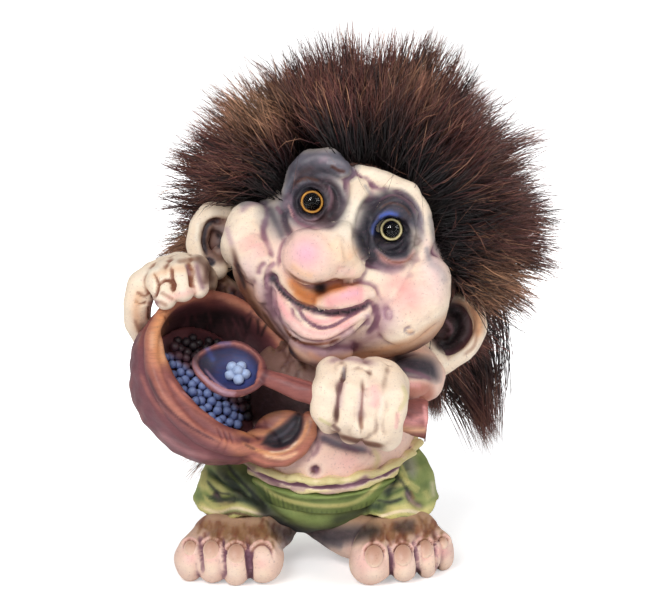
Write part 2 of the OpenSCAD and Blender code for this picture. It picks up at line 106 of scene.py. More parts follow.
PAINTS = {name: paint_colour(*rgb) for name, rgb in {
    "cream": (247, 228, 205), "ivory": (250, 240, 222), "blush": (240, 172, 168), "rose": (245, 190, 185),
    "lilac": (232, 180, 200), "apricot": (250, 205, 165), "orange": (214, 128, 62), "umber": (128, 74, 50),
    "cocoa": (92, 56, 46), "plum": (122, 82, 100), "mauve": (176, 138, 152), "slate": (86, 86, 100),
    "ash": (150, 146, 152), "night": (34, 33, 42), "soot": (50, 48, 58), "bark": (66, 42, 42), "black": (22, 16, 18), "azure": (82, 108, 194),
    "lip": (243, 178, 176), "terracotta": (184, 106, 84), "clay": (202, 130, 110), "tan": (222, 158, 108),
    "brick": (136, 78, 76), "rust": (142, 84, 82), "dusk": (120, 72, 82), "ochre": (150, 112, 76), "wine": (88, 48, 54), "moss": (130, 146, 84), "leaf": (148, 164, 98),
    "straw": (214, 204, 138), "pine": (62, 76, 54), "navy": (40, 46, 88), "fibre": (140, 108, 84),
    "bloom_and_highlight": (176, 200, 240), "sole": (238, 205, 190), "nail": (232, 190, 172),
}.items()}
# the same paints on an even scale from dark to light, in which one covers another
TONES = {name: np.array(rgb) ** (1 / 2.2) for name, rgb in PAINTS.items()}


# Clay: forms in millimetres

def egg(dirs, size, swells, out=0.0):
    """The radius of an egg with swells, each given as its direction, spread in degrees and height."""
    dirs = dirs / np.linalg.norm(dirs, axis=1, keepdims=True)
    reach = 1 / np.linalg.norm(dirs / np.array(size), axis=1) + out
    for way, spread, high in swells:
        way = np.array(way) / np.linalg.norm(way)
        reach = reach + high * np.exp(-(np.degrees(np.arccos(np.clip(dirs @ way, -1, 1))) / spread) ** 2)
    return reach


class Clay:
    """A form put together from balls and limbs, made one skin, then pressed and painted with strokes."""

    def __init__(self):
        self.bm = bmesh.new()
        self.mesh = None

    def ball(self, at, size, turn=(0, 0, 0), detail=4):
        size = size if isinstance(size, (tuple, list)) else (size, size, size)
        place = Matrix.Translation(Vector(at)) @ Euler([math.radians(a) for a in turn]).to_matrix().to_4x4()
        place = place @ Matrix.Diagonal((*size, 1))
        return bmesh.ops.create_icosphere(self.bm, subdivisions=detail, radius=1, matrix=place)["verts"]

    def lathe(self, line, place, steps=96):
        """Turns a half outline, given as radius and height from foot to foot, into a closed round form."""
        round_form = bmesh.new()
        verts = [round_form.verts.new((r, 0, z)) for r, z in line]
        edges = [round_form.edges.new(pair) for pair in zip(verts[:-1], verts[1:])]
        bmesh.ops.spin(round_form, geom=verts + edges, cent=(0, 0, 0), axis=(0, 0, 1), angle=2 * math.pi,
                       steps=steps, use_merge=True)
        bmesh.ops.remove_doubles(round_form, verts=round_form.verts, dist=0.001)
        bmesh.ops.recalc_face_normals(round_form, faces=round_form.faces)
        bmesh.ops.transform(round_form, matrix=place, verts=round_form.verts)
        mesh = bpy.data.meshes.new("lathe")
        round_form.to_mesh(mesh)
        round_form.free()
        self.bm.from_mesh(mesh)
        bpy.data.meshes.remove(mesh)

    def blob(self, at, size, swells, turn=Matrix.Identity(3), out=0.0):
        verts = self.ball((0, 0, 0), 1, detail=6)
        dirs = np.array([v.co[:] for v in verts])
        reach = egg(dirs, size, swells, out)
        for v, r in zip(verts, reach):
            v.co = turn @ (v.co.normalized() * r) + Vector(at)

    def limb(self, *stations):
        """Balls joined by cones; each station is its centre and radius."""
        for i, (at, size) in enumerate(stations):
            self.ball(at, size, detail=3)
            if i:
                before, size_before = stations[i - 1]
                axis = Vector(at) - Vector(before)
                place = Matrix.Translation((Vector(at) + Vector(before)) / 2) @ axis.to_track_quat("Z", "Y").to_matrix().to_4x4()
                bmesh.ops.create_cone(self.bm, cap_ends=True, segments=24, radius1=size_before, radius2=size,
                                      depth=axis.length, matrix=place)

    def loft(self, rows, at, count=120, closed=False):
        """Loops joined one to the next; at(row, turn) places each point, and turn 0 faces the front."""
        bm = self.bm
        verts = bmesh.ops.create_circle(bm, segments=count, radius=1)["verts"]
        edges = first = list({e for v in verts for e in v.link_edges})
        loops, faces = [verts], []
        for _ in range(1, rows):
            made = bmesh.ops.extrude_edge_only(bm, edges=edges)["geom"]
            verts = [g for g in made if isinstance(g, bmesh.types.BMVert)]
            own = set(verts)
            edges = [g for g in made if isinstance(g, bmesh.types.BMEdge) and own.issuperset(g.verts)]
            faces += [g for g in made if isinstance(g, bmesh.types.BMFace)]
            loops.append(verts)
        for row, verts in enumerate(loops):
            for v in verts:
                v.co = Vector(at(row, math.atan2(v.co.x, -v.co.y)))
        if closed:
            faces += bmesh.ops.bridge_loops(bm, edges=first + edges)["faces"]
        else:
            for ends in (first, edges):
                faces += bmesh.ops.edgeloop_fill(bm, edges=ends)["faces"]
        bmesh.ops.recalc_face_normals(bm, faces=faces)

    def settle(self):
        """Remembers the front of the form so far, for seat()."""
        if self.mesh:
            self.front, normals = self.co, self.out
        else:
            self.bm.normal_update()
            self.front = np.array([v.co[:] for v in self.bm.verts])
            normals = np.array([v.normal[:] for v in self.bm.verts])
        keep = normals @ FORWARD < -0.12
        self.front, self.front_out = self.front[keep], normals[keep]
        self.front_seen = picture(self.front)

    def seat(self, x, y, out=0.0):
        """A place on the settled form under a picture point, moved out along its normal."""
        near = np.argsort(((self.front_seen - (x, y)) ** 2).sum(1))[:4]
        at = self.front[near].mean(0) + self.front_out[near].mean(0) * out
        return sight(x, y, at[1])

    def strip(self, *stations):
        """A limb seated on the form: each station is a picture point, how far out it lies and its radius."""
        self.limb(*[(self.seat(x, y, out), size) for x, y, out, size in stations])

    def skin(self, voxel=0.5, rounds=3):
        """Makes everything one skin."""
        mesh = bpy.data.meshes.new("clay")
        self.bm.to_mesh(mesh)
        self.bm.free()
        work = bpy.data.objects.new("clay", mesh)
        bpy.context.scene.collection.objects.link(work)
        remesh = work.modifiers.new("one skin", "REMESH")
        remesh.mode = "VOXEL"
        remesh.voxel_size = voxel
        soften = work.modifiers.new("soften", "SMOOTH")
        soften.factor, soften.iterations = 0.5, rounds
        depsgraph = bpy.context.evaluated_depsgraph_get()
        self.mesh = bpy.data.meshes.new_from_object(work.evaluated_get(depsgraph), depsgraph=depsgraph)
        bpy.data.objects.remove(work)
        bpy.data.meshes.remove(mesh)
        self.read()
        self.colour = None
        return self

    def read(self):
        count = len(self.mesh.vertices)
        self.co = np.empty(count * 3)
        self.mesh.vertices.foreach_get("co", self.co)
        self.co = self.co.reshape(-1, 3)
        edges = np.empty(len(self.mesh.edges) * 2, np.int64)
        self.mesh.edges.foreach_get("vertices", edges)
        self.edges = edges.reshape(-1, 2)
        self.share = np.bincount(edges, minlength=count)[:, None]
        self.look()

    def look(self):
        """Writes the moved points back and finds normals, picture points and what faces the front."""
        self.mesh.vertices.foreach_set("co", self.co.ravel())
        self.mesh.update()
        self.out = np.empty(len(self.co) * 3)
        self.mesh.vertex_normals.foreach_get("vector", self.out)
        self.out = self.out.reshape(-1, 3)
        self.seen = picture(self.co)
        self.facing = np.clip(0.5 - (self.out @ FORWARD) * 5, 0, 1)

    def spread(self, values, rounds):
        """Averages values over neighbours."""
        a, b = self.edges.T
        for _ in range(rounds):
            total = np.stack([np.bincount(a, v[b], len(v)) + np.bincount(b, v[a], len(v)) for v in values.T], 1)
            values = 0.5 * values + 0.5 * total / self.share
        return values

    def along(self, points, width, taper=True):
        """How strongly a brush line touches each point of the skin, as indices and weights."""
        line = bend(points)
        near = ((self.seen > line.min(0) - 2.6 * width) & (self.seen < line.max(0) + 2.6 * width)).all(1)
        near = np.nonzero(near & (self.facing > 0))[0]
        if len(line) == 1 or not len(near):
            gap = np.linalg.norm(self.seen[near] - line[0], axis=1)
            return near, np.exp(-((gap / width) ** 2)) * self.facing[near]
        a, b = line[:-1], line[1:]
        p = self.seen[near][:, None]
        t = np.clip(((p - a) * (b - a)).sum(2) / (((b - a) ** 2).sum(1) + 1e-9), 0, 1)
        gaps = np.linalg.norm(p - (a + t[..., None] * (b - a)), axis=2)
        nearest = gaps.argmin(1)
        rows = np.arange(len(near))
        weight = np.exp(-((gaps[rows, nearest] / width) ** 2)) * self.facing[near]
        if taper and np.hypot(*(line[0] - line[-1])) > width:
            s = (nearest + t[rows, nearest]) / len(a)
            weight = weight * np.clip(np.minimum(s, 1 - s) * 6 + 0.25, 0, 1)
        return near, weight

    def inside(self, points, soft):
        """How much each point of the skin lies inside a closed picture outline."""
        line = bend(points + points[:1])
        near = ((self.seen > line.min(0) - 3 * soft) & (self.seen < line.max(0) + 3 * soft)).all(1)
        near = np.nonzero(near & (self.facing > 0))[0]
        p = self.seen[near][:, None]
        a, b = line[:-1], line[1:]
        t = np.clip(((p - a) * (b - a)).sum(2) / (((b - a) ** 2).sum(1) + 1e-9), 0, 1)
        gap = np.linalg.norm(p - (a + t[..., None] * (b - a)), axis=2).min(1)
        crosses = (a[:, 1] > p[..., 1]) != (b[:, 1] > p[..., 1])
        cut = a[:, 0] + (p[..., 1] - a[:, 1]) / np.where(b[:, 1] == a[:, 1], 1e-9, b[:, 1] - a[:, 1]) * (b[:, 0] - a[:, 0])
        within = (crosses & (p[..., 0] < cut)).sum(1) % 2 == 1
        edge = np.where(within, gap, -gap) / soft
        return near, np.clip(edge * 0.5 + 0.5, 0, 1) * self.facing[near]

    def press(self, rows):
        """Each row is a brush line, its width and how deep it presses in millimetres; less than nothing raises."""
        for points, width, deep in rows:
            near, weight = self.along(points, width)
            self.co[near] -= self.out[near] * (weight * deep)[:, None]
        self.look()

    def bore(self, middle, turn, radius, deep):
        """Pushes the skin back to a flat seat for an eye that looks along -Y of the turned frame, with a raised edge."""
        turn = np.array(turn)
        local = (self.co - np.array(middle)) @ turn
        gap = np.hypot(local[:, 0], local[:, 2])
        near = (local[:, 1] < 8) & (gap < radius + 4)
        edge = np.exp(-(((gap - radius - 0.9) / 0.8) ** 2)) * near
        local[:, 1] -= 0.5 * edge
        push = np.clip((radius + 0.25 - gap) / 0.5, 0, 1)
        local[:, 1] = np.where(near & (local[:, 1] < deep), local[:, 1] * (1 - push) + deep * push, local[:, 1])
        self.co = local @ turn.T + np.array(middle)
        self.look()

    def ease(self, points, width, rounds=4):
        """Smooths the skin along a brush line."""
        near, weight = self.along(points, width)
        self.co[near] += (self.spread(self.co, rounds)[near] - self.co[near]) * weight[:, None]
        self.look()

    def rough(self, size, high, seed=0):
        """Lumps the skin a little, as a modeller's thumb does."""
        rng = np.random.default_rng(seed)
        move = np.zeros(len(self.co))
        for _ in range(14):
            way = rng.normal(size=3)
            way *= 2 * math.pi / size / np.linalg.norm(way) * rng.uniform(0.6, 1.5)
            move += np.sin(self.co @ way + rng.uniform(0, 6.3))
        self.co += self.out * (move * high / 3)[:, None]
        self.look()

    def base(self, paint, recess="plum", raised="ivory", load=0.8, deep=0.35, edge=0.3):
        """One coat of paint, with painted shade in the hollows and a painted highlight on what stands proud."""
        self.colour = np.tile(TONES[paint], (len(self.co), 1))
        for rounds, share in ((4, 0.5), (26, 1.0)):
            hollow = ((self.spread(self.co, rounds) - self.co) * self.out).sum(1)
            hollow = self.spread(hollow[:, None], 2)[:, 0]
            scale = deep * (0.25 if rounds < 10 else 1)
            # painted shade darkens the hollows, and a painted highlight lightens what stands proud
            hollow_shade = np.clip(hollow / scale, 0, 1) ** 1.2 * load * share
            proud_highlight = np.clip(-hollow / scale, 0, 1) * edge * share
            self.mix(np.arange(len(self.co)), hollow_shade, recess)
            self.mix(np.arange(len(self.co)), proud_highlight, raised)

    def mix(self, near, weight, paint):
        weight = np.clip(weight, 0, 1)[:, None]
        self.colour[near] = self.colour[near] * (1 - weight) + TONES[paint] * weight

    def fill(self, *rows):
        """Each row is a closed outline, how soft its edge is, a paint and its load."""
        for points, soft, paint, load in rows:
            near, weight = self.inside(points, soft)
            self.mix(near, weight * load, paint)

    def brush(self, *rows):
        """Each row is a brush line, its width, a paint and its load."""
        for points, width, paint, load in rows:
            near, weight = self.along(points, width)
            if width < 3:
                # a thin brush leaves a crisp edge
                weight = np.clip(weight * 1.45 - 0.25, 0, 1)
            self.mix(near, weight * load, paint)

    def tint(self, weight, paint, load=1.0):
        """Paints the whole skin by a weight for each point."""
        self.mix(np.arange(len(self.co)), weight * load, paint)

    def hair(self, points, width, seed, count=60, length=9, deep=0.35, dark="cocoa", light="fibre"):
        """Carved and painted short hair along a brush line."""
        rng = np.random.default_rng(seed)
        line = bend(points)
        for _ in range(count):
            k = rng.uniform(0, len(line) - 1.001)
            i = int(k)
            at = line[i] + (line[i + 1] - line[i]) * (k - i) + rng.normal(0, width * 0.5, 2)
            way = math.radians(90 + rng.normal(0, 22))
            far = at + np.array([math.cos(way), math.sin(way)]) * length * rng.uniform(0.6, 1.2)
            near, weight = self.along([at, (at + far) / 2 + rng.normal(0, 0.8, 2), far], 1.5)
            self.co[near] -= self.out[near] * (weight * deep * rng.choice([-0.7, 1]))[:, None]
            self.mix(near, weight * 0.75, dark if rng.random() < 0.6 else light)

    def piece(self, name, material, *replaced, slot):
        """Hands the skin over as a finished piece in metres."""
        self.look()
        mesh = self.mesh
        mesh.name = name
        mesh.transform(Matrix.Scale(0.001, 4))
        layer = mesh.color_attributes.new("paint", "FLOAT_COLOR", "POINT")
        layer.data.foreach_set("color", np.hstack([self.colour**2.2, np.ones((len(self.co), 1))]).ravel())
        return hand_over(name, mesh, material, replaced)


def hand_over(name, mesh, material, replaced, smooth=True):
    obj = bpy.data.objects.new(name, mesh)
    bpy.context.scene.collection.objects.link(obj)
    mesh.polygons.foreach_set("use_smooth", [smooth] * len(mesh.polygons))
    mesh.materials.clear()
    mesh.materials.append(material)
    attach(obj, "root")
    if replaced:
        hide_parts(*replaced)
    return obj


# Finishes

def new_material(name):
    material = bpy.data.materials.new(name)
    material.use_nodes = True
    tree = material.node_tree
    return material, tree, tree.nodes["Principled BSDF"]


def put(tree, kind, **settings):
    node = tree.nodes.new(kind)
    for key, value in settings.items():
        if key in node.inputs:
            node.inputs[key].default_value = value
        else:
            setattr(node, key, value)
    return node


def new_group(name, ins, outs):
    tree = bpy.data.node_groups.new(name, "ShaderNodeTree")
    for label, kind, value in ins:
        socket = tree.interface.new_socket(label, in_out="INPUT", socket_type="NodeSocket" + kind)
        socket.default_value = value
    for label, kind in outs:
        tree.interface.new_socket(label, in_out="OUTPUT", socket_type="NodeSocket" + kind)
    return tree, tree.nodes.new("NodeGroupInput"), tree.nodes.new("NodeGroupOutput")


def mottle_group():
    """Thin paint over a cast: cloudy tone, fine dark specks and a matching height."""
    tree, ins, outs = new_group("paint_mottle", [
        ("Colour", "Color", (0.8, 0.7, 0.6, 1)), ("Speck Colour", "Color", (0.1, 0.05, 0.06, 1)),
        ("Cloud Scale", "Float", 180.0), ("Cloud Amount", "Float", 0.25),
        ("Speck Scale", "Float", 1500.0), ("Speck Amount", "Float", 0.25)], [("Colour", "Color"), ("Height", "Float")])
    link = tree.links.new
    place = put(tree, "ShaderNodeTexCoord")
    cloud = put(tree, "ShaderNodeTexNoise", Detail=4.0, Roughness=0.6)
    specks = put(tree, "ShaderNodeTexNoise", Detail=3.0, Roughness=0.75)
    link(place.outputs["Object"], cloud.inputs["Vector"])
    link(place.outputs["Object"], specks.inputs["Vector"])
    link(ins.outputs["Cloud Scale"], cloud.inputs["Scale"])
    link(ins.outputs["Speck Scale"], specks.inputs["Scale"])
    tone = put(tree, "ShaderNodeMapRange")
    tone.inputs["From Min"].default_value, tone.inputs["From Max"].default_value = 0.3, 0.7
    tone.inputs["To Min"].default_value, tone.inputs["To Max"].default_value = 1.0, 0.0
    link(cloud.outputs["Fac"], tone.inputs["Value"])
    cloudy = put(tree, "ShaderNodeMath", operation="MULTIPLY")
    link(tone.outputs["Result"], cloudy.inputs[0])
    link(ins.outputs["Cloud Amount"], cloudy.inputs[1])
    deepen = put(tree, "ShaderNodeMix", data_type="RGBA", blend_type="MULTIPLY")
    link(cloudy.outputs[0], deepen.inputs[0])
    link(ins.outputs["Colour"], deepen.inputs[6])
    link(ins.outputs["Colour"], deepen.inputs[7])
    cut = put(tree, "ShaderNodeMapRange")
    cut.inputs["From Min"].default_value, cut.inputs["From Max"].default_value = 0.58, 0.72
    link(specks.outputs["Fac"], cut.inputs["Value"])
    some = put(tree, "ShaderNodeMath", operation="MULTIPLY")
    link(cut.outputs["Result"], some.inputs[0])
    link(ins.outputs["Speck Amount"], some.inputs[1])
    dot = put(tree, "ShaderNodeMix", data_type="RGBA")
    link(some.outputs[0], dot.inputs[0])
    link(deepen.outputs[2], dot.inputs[6])
    link(ins.outputs["Speck Colour"], dot.inputs[7])
    link(dot.outputs[2], outs.inputs["Colour"])
    high = put(tree, "ShaderNodeMath", operation="ADD")
    link(specks.outputs["Fac"], high.inputs[0])
    link(cloud.outputs["Fac"], high.inputs[1])
    link(high.outputs[0], outs.inputs["Height"])
    return tree


def streak_group():
    """Drawn-out grain, as brushed or carved wood has."""
    tree, ins, outs = new_group("brushed_streaks", [
        ("Colour", "Color", (0.5, 0.3, 0.2, 1)), ("Streak Colour", "Color", (0.1, 0.04, 0.04, 1)),
        ("Stretch", "Vector", (300.0, 300.0, 1800.0)), ("Turn", "Vector", (0.0, 0.0, 0.0)), ("Amount", "Float", 0.4)],
        [("Colour", "Color"), ("Height", "Float")])
    link = tree.links.new
    place = put(tree, "ShaderNodeTexCoord")
    turn = put(tree, "ShaderNodeMapping")
    grain = put(tree, "ShaderNodeTexNoise", Scale=1.0, Detail=4.0, Roughness=0.65, Distortion=0.35)
    link(place.outputs["Object"], turn.inputs["Vector"])
    link(ins.outputs["Turn"], turn.inputs["Rotation"])
    link(ins.outputs["Stretch"], turn.inputs["Scale"])
    link(turn.outputs["Vector"], grain.inputs["Vector"])
    cut = put(tree, "ShaderNodeMapRange")
    cut.inputs["From Min"].default_value, cut.inputs["From Max"].default_value = 0.46, 0.66
    link(grain.outputs["Fac"], cut.inputs["Value"])
    some = put(tree, "ShaderNodeMath", operation="MULTIPLY")
    link(cut.outputs["Result"], some.inputs[0])
    link(ins.outputs["Amount"], some.inputs[1])
    mix = put(tree, "ShaderNodeMix", data_type="RGBA")
    link(some.outputs[0], mix.inputs[0])
    link(ins.outputs["Colour"], mix.inputs[6])
    link(ins.outputs["Streak Colour"], mix.inputs[7])
    link(mix.outputs[2], outs.inputs["Colour"])
    link(grain.outputs["Fac"], outs.inputs["Height"])
    return tree


MOTTLE = mottle_group()
STREAKS = streak_group()


def wash_colour(name):
    return (*PAINTS[name], 1)


def painted_finish(name, specks="plum", cloud=0.3, speck=0.3, rough=0.5, coat=0.0, relief=0.1, cloud_scale=170.0,
                   speck_scale=1500.0, streaks=None, streak_colour="wine", stretch=(300, 300, 1800), turn=(0, 0, 0)):
    """Hand paint that follows the piece's paint attribute."""
    material, tree, shader = new_material(name)
    link = tree.links.new
    coats = put(tree, "ShaderNodeAttribute", attribute_name="paint")
    colour = coats.outputs["Color"]
    mottle = put(tree, "ShaderNodeGroup")
    mottle.node_tree = MOTTLE
    height = mottle.outputs["Height"]
    for label, value in (("Speck Colour", wash_colour(specks)), ("Cloud Scale", cloud_scale), ("Cloud Amount", cloud),
                         ("Speck Scale", speck_scale), ("Speck Amount", speck)):
        mottle.inputs[label].default_value = value
    if streaks:
        grain = put(tree, "ShaderNodeGroup")
        grain.node_tree = STREAKS
        grain.inputs["Streak Colour"].default_value = wash_colour(streak_colour)
        grain.inputs["Stretch"].default_value = stretch
        grain.inputs["Turn"].default_value = [math.radians(a) for a in turn]
        grain.inputs["Amount"].default_value = streaks
        link(colour, grain.inputs["Colour"])
        colour = grain.outputs["Colour"]
        both = put(tree, "ShaderNodeMath", operation="ADD")
        link(height, both.inputs[0])
        link(grain.outputs["Height"], both.inputs[1])
        height = both.outputs[0]
    link(colour, mottle.inputs["Colour"])
    link(mottle.outputs["Colour"], shader.inputs["Base Color"])
    gloss = put(tree, "ShaderNodeMapRange")
    gloss.inputs["To Min"].default_value, gloss.inputs["To Max"].default_value = rough - 0.1, rough + 0.14
    link(mottle.outputs["Height"], gloss.inputs["Value"])
    link(gloss.outputs["Result"], shader.inputs["Roughness"])
    bump = put(tree, "ShaderNodeBump", Strength=relief, Distance=0.0008)
    link(height, bump.inputs["Height"])
    link(bump.outputs["Normal"], shader.inputs["Normal"])
    shader.inputs["Coat Weight"].default_value = coat
    shader.inputs["Coat Roughness"].default_value = 0.25
    shader.inputs["Specular IOR Level"].default_value = 0.35
    return material


def plain_finish(name, first, second, scale=400.0, rough=0.6, relief=0.2, metal=0.0):
    """Two tones of one stuff in a fine cloud, with a matching relief."""
    material, tree, shader = new_material(name)
    link = tree.links.new
    place = put(tree, "ShaderNodeTexCoord")
    cloud = put(tree, "ShaderNodeTexNoise", Scale=scale, Detail=5.0, Roughness=0.65)
    link(place.outputs["Object"], cloud.inputs["Vector"])
    ramp = put(tree, "ShaderNodeValToRGB")
    ramp.color_ramp.elements[0].position, ramp.color_ramp.elements[1].position = 0.35, 0.68
    ramp.color_ramp.elements[0].color, ramp.color_ramp.elements[1].color = wash_colour(first), wash_colour(second)
    link(cloud.outputs["Fac"], ramp.inputs["Fac"])
    link(ramp.outputs["Color"], shader.inputs["Base Color"])
    bump = put(tree, "ShaderNodeBump", Strength=relief, Distance=0.0006)
    link(cloud.outputs["Fac"], bump.inputs["Height"])
    link(bump.outputs["Normal"], shader.inputs["Normal"])
    shader.inputs["Roughness"].default_value = rough
    shader.inputs["Metallic"].default_value = metal
    return material


# Head

HEAD_AT = (-1, -2, 84.5)
HEAD_TURN = (Matrix.Rotation(math.radians(18), 3, "Y") @ Matrix.Rotation(math.radians(-9), 3, "Z"))
SKULL = (28, 30, 30)
SKULL_SWELLS = [
    ((0.80, -0.50, -0.26), 27, 7.5), ((-0.80, -0.50, -0.26), 27, 5.0), ((0, -0.93, -0.32), 25, 5.5),
    ((0.05, -0.66, -0.75), 16, 3), ((0.33, -0.68, 0.70), 12, 3), ((-0.36, -0.68, 0.70), 12, 4)]
RIGHT_EYE, LEFT_EYE = (310, 201), (392, 236)


def head_place(x, y, z):
    return HEAD_TURN @ Vector((x, y, z)) + Vector(HEAD_AT)


def skull_point(lat, lon, out=0.0):
    a, b = math.radians(lat), math.radians(lon)
    way = np.array([[math.cos(a) * math.sin(b), -math.cos(a) * math.cos(b), math.sin(a)]])
    return head_place(*(way[0] * egg(way, SKULL, SKULL_SWELLS, out)[0]))


def make_head(material):
    clay = Clay()
    clay.blob(HEAD_AT, SKULL, SKULL_SWELLS, HEAD_TURN)
    clay.settle()
    # nose: the ball, the bridge up to the brow and the wing on its left
    ball = Vector(sight(311, 256, -40.6))
    clay.ball(ball, (8.0, 7.6, 7.6))
    clay.limb((ball + Vector((2, 3, 0.4)), 7.0), (sight(333, 257, -36.5), 6.3), (sight(347, 263, -34.5), 5.0))
    clay.limb((ball + Vector((3, 3.5, 1)), 6.6), (sight(337, 248, -35), 6.2), (sight(349, 240, -32.2), 5.4), (clay.seat(354, 218, -1.0), 4.2),
              (clay.seat(358, 190, -2.2), 3.6))
    clay.limb((sight(333, 252, -36), 6.0), (clay.seat(340, 228, -1.6), 4.6))
    clay.limb((ball + Vector((0, 4, -1)), 5.5), (clay.seat(300, 262, -2), 4))
    clay.limb((sight(322, 250, -38.6), 7.2), (sight(340, 246, -36), 6.8), (sight(350, 256, -34), 5.4))
    # lips and chin
    clay.strip((322, 303, 0.4, 2.6), (335, 299, 0.8, 3.4), (352, 296, 0.6, 3.6), (366, 296, 0, 2.8), (372, 299, -0.6, 1.8))
    clay.strip((276, 286, -0.8, 1.5), (281, 304, 0.6, 2.5), (293, 322, 1.2, 3.2), (308, 332, 1.6, 3.8), (325, 334, 1.6, 3.9),
               (343, 326, 1.2, 3.4), (359, 314, 0.8, 2.6), (370, 306, 0, 1.6))
    clay.strip((301, 312, -0.6, 1.8), (314, 321, -0.2, 2.2), (330, 321, -0.2, 2.2), (345, 314, -0.6, 1.7))
    clay.strip((305, 345, 0, 4.5), (322, 350, 0.3, 5.0), (340, 348, -1.2, 4.0))
    # brows and lids
    clay.strip((291, 192, -0.6, 2.6), (299, 175, 0.8, 3.8), (312, 166, 1.4, 4.6), (328, 164, 1.2, 4.4), (341, 170, 0.2, 3.0))
    clay.strip((358, 174, -0.4, 2.8), (384, 182, 0.6, 3.0), (408, 192, 0.8, 3.0), (421, 213, 0.8, 2.8), (425, 238, 0.2, 2.8),
               (421, 256, -0.4, 2.2))
    clay.strip((376, 222, 0, 2.0), (384, 211, 0.9, 2.7), (397, 206, 1.1, 2.9), (410, 214, 0.6, 2.4), (414, 232, 0, 1.8))
    clay.strip((377, 250, -0.4, 1.4), (388, 259, 0.4, 2.0), (402, 258, 0.6, 2.0), (412, 247, 0, 1.6))
    # cheeks under the eyes and the fold beside the right corner of the mouth
    clay.strip((250, 225, -2.2, 6.5), (246, 245, -2, 7), (258, 262, -2.6, 6))
    clay.strip((426, 280, -3, 7), (420, 298, -3, 8), (400, 318, -3, 7))
    clay.strip((268, 262, 0.2, 1.8), (262, 276, 0.4, 2.2), (262, 296, 0.2, 2.0))
    clay.skin(0.5, 3)
    for sign in (-1, 1):
        clay.bore(skull_point(27.5, 25.5 * sign, -1.2), HEAD_TURN, 3.7, 1.3)
    clay.press([
        # right eye: socket, lid rings and the crease to the temple
        (ring(*RIGHT_EYE, 20, 21, 20, 330), 5, 1.4), (ring(*RIGHT_EYE, 15.5), 2.6, -0.5),
        ([(322, 178), (335, 188), (338, 203), (330, 217), (316, 226)], 4, 1.6), ([(324, 184), (330, 196), (328, 210)], 2.2, -0.5),
        ([(346, 178), (346, 196), (338, 214), (328, 228)], 3, 0.8), ([(292, 184), (306, 178), (322, 182)], 2, 0.5),
        ([(284, 205), (283, 220), (290, 236)], 3.5, 1.4), ([(291, 214), (300, 223), (312, 228)], 2, -0.5),
        ([(330, 166), (338, 173), (346, 172)], 1.6, 0.9),
        # left eye: deep band, folds of the lid and the bag below
        ([(384, 194), (366, 206), (359, 225), (359, 245), (367, 260), (384, 269)], 5.5, 2.0),
        (ring(*LEFT_EYE, 15, 15, 0, 360), 3, 1.1), ([(372, 240), (370, 224), (380, 208), (396, 200), (411, 208), (418, 226)], 1.8, 0.6),
        ([(376, 214), (388, 205), (402, 206)], 1.2, 0.35), ([(416, 212), (419, 234), (413, 252)], 2.2, 0.8),
        ([(374, 252), (386, 264), (402, 264), (415, 254)], 1.8, 0.6), ([(392, 190), (410, 198), (420, 214)], 1.8, 0.5),
        # nose: crease to the cheek, the line under the ball and the nostril
        ([(279, 264), (281, 248), (287, 236)], 2.4, 0.9), ([(336, 236), (339, 254), (342, 268)], 5, -0.9),
        ([(290, 278), (306, 286), (320, 288), (340, 283), (360, 281)], 3, 0.9), ([(320, 288)], 4.2, 1.6),
        ([(288, 286), (302, 298), (316, 301)], 2.6, 0.5),
        # mouth: the parting, the corners and the edges of the lips
        ([(271, 272), (280, 289), (296, 303), (316, 310), (338, 313), (358, 309), (372, 302)], 2.4, 1.7),
        ([(297, 304), (305, 318), (318, 327), (332, 326), (348, 317), (366, 306)], 1.8, 0.8),
        ([(272, 278)], 4, 1.6), ([(272, 288), (273, 302), (278, 318)], 3, 1.2), ([(370, 302)], 4, 0.8),
        ([(374, 302), (377, 314), (374, 326), (366, 334)], 3.2, 0.8), ([(368, 312), (370, 322), (366, 329)], 2, -0.6),
        ([(281, 320), (292, 336), (308, 343), (328, 343), (346, 334), (362, 322)], 3, 1.1),
        ([(330, 346), (345, 348), (358, 347)], 4, 1.0),
        # dimples, jaw lines and the folds of the cheek
        ([(266, 262), (260, 268), (259, 275)], 2.6, 0.5), ([(274, 262), (266, 272), (266, 290)], 1.6, 0.4),
        (ring(388, 314, 4, 6, 0, 330, 8), 1.5, 0.5), (ring(410, 331, 5, 3.4, 0, 300, 8), 1.3, 0.4),
        ([(234, 262), (242, 275), (247, 284)], 2, 0.7), ([(262, 306), (272, 322), (286, 342)], 2, 0.5),
        ([(300, 166), (296, 172), (292, 180)], 1.6, 0.3), ([(352, 168), (362, 178)], 1.6, 0.4),
    ])
    clay.ease([(271, 272), (280, 289), (296, 303), (316, 310), (338, 313), (358, 309), (372, 302)], 5)
    clay.rough(9, 0.10, 3)
    clay.rough(3.2, 0.05, 4)
    clay.base("cream", "plum", "ivory", load=0.95, deep=0.33)
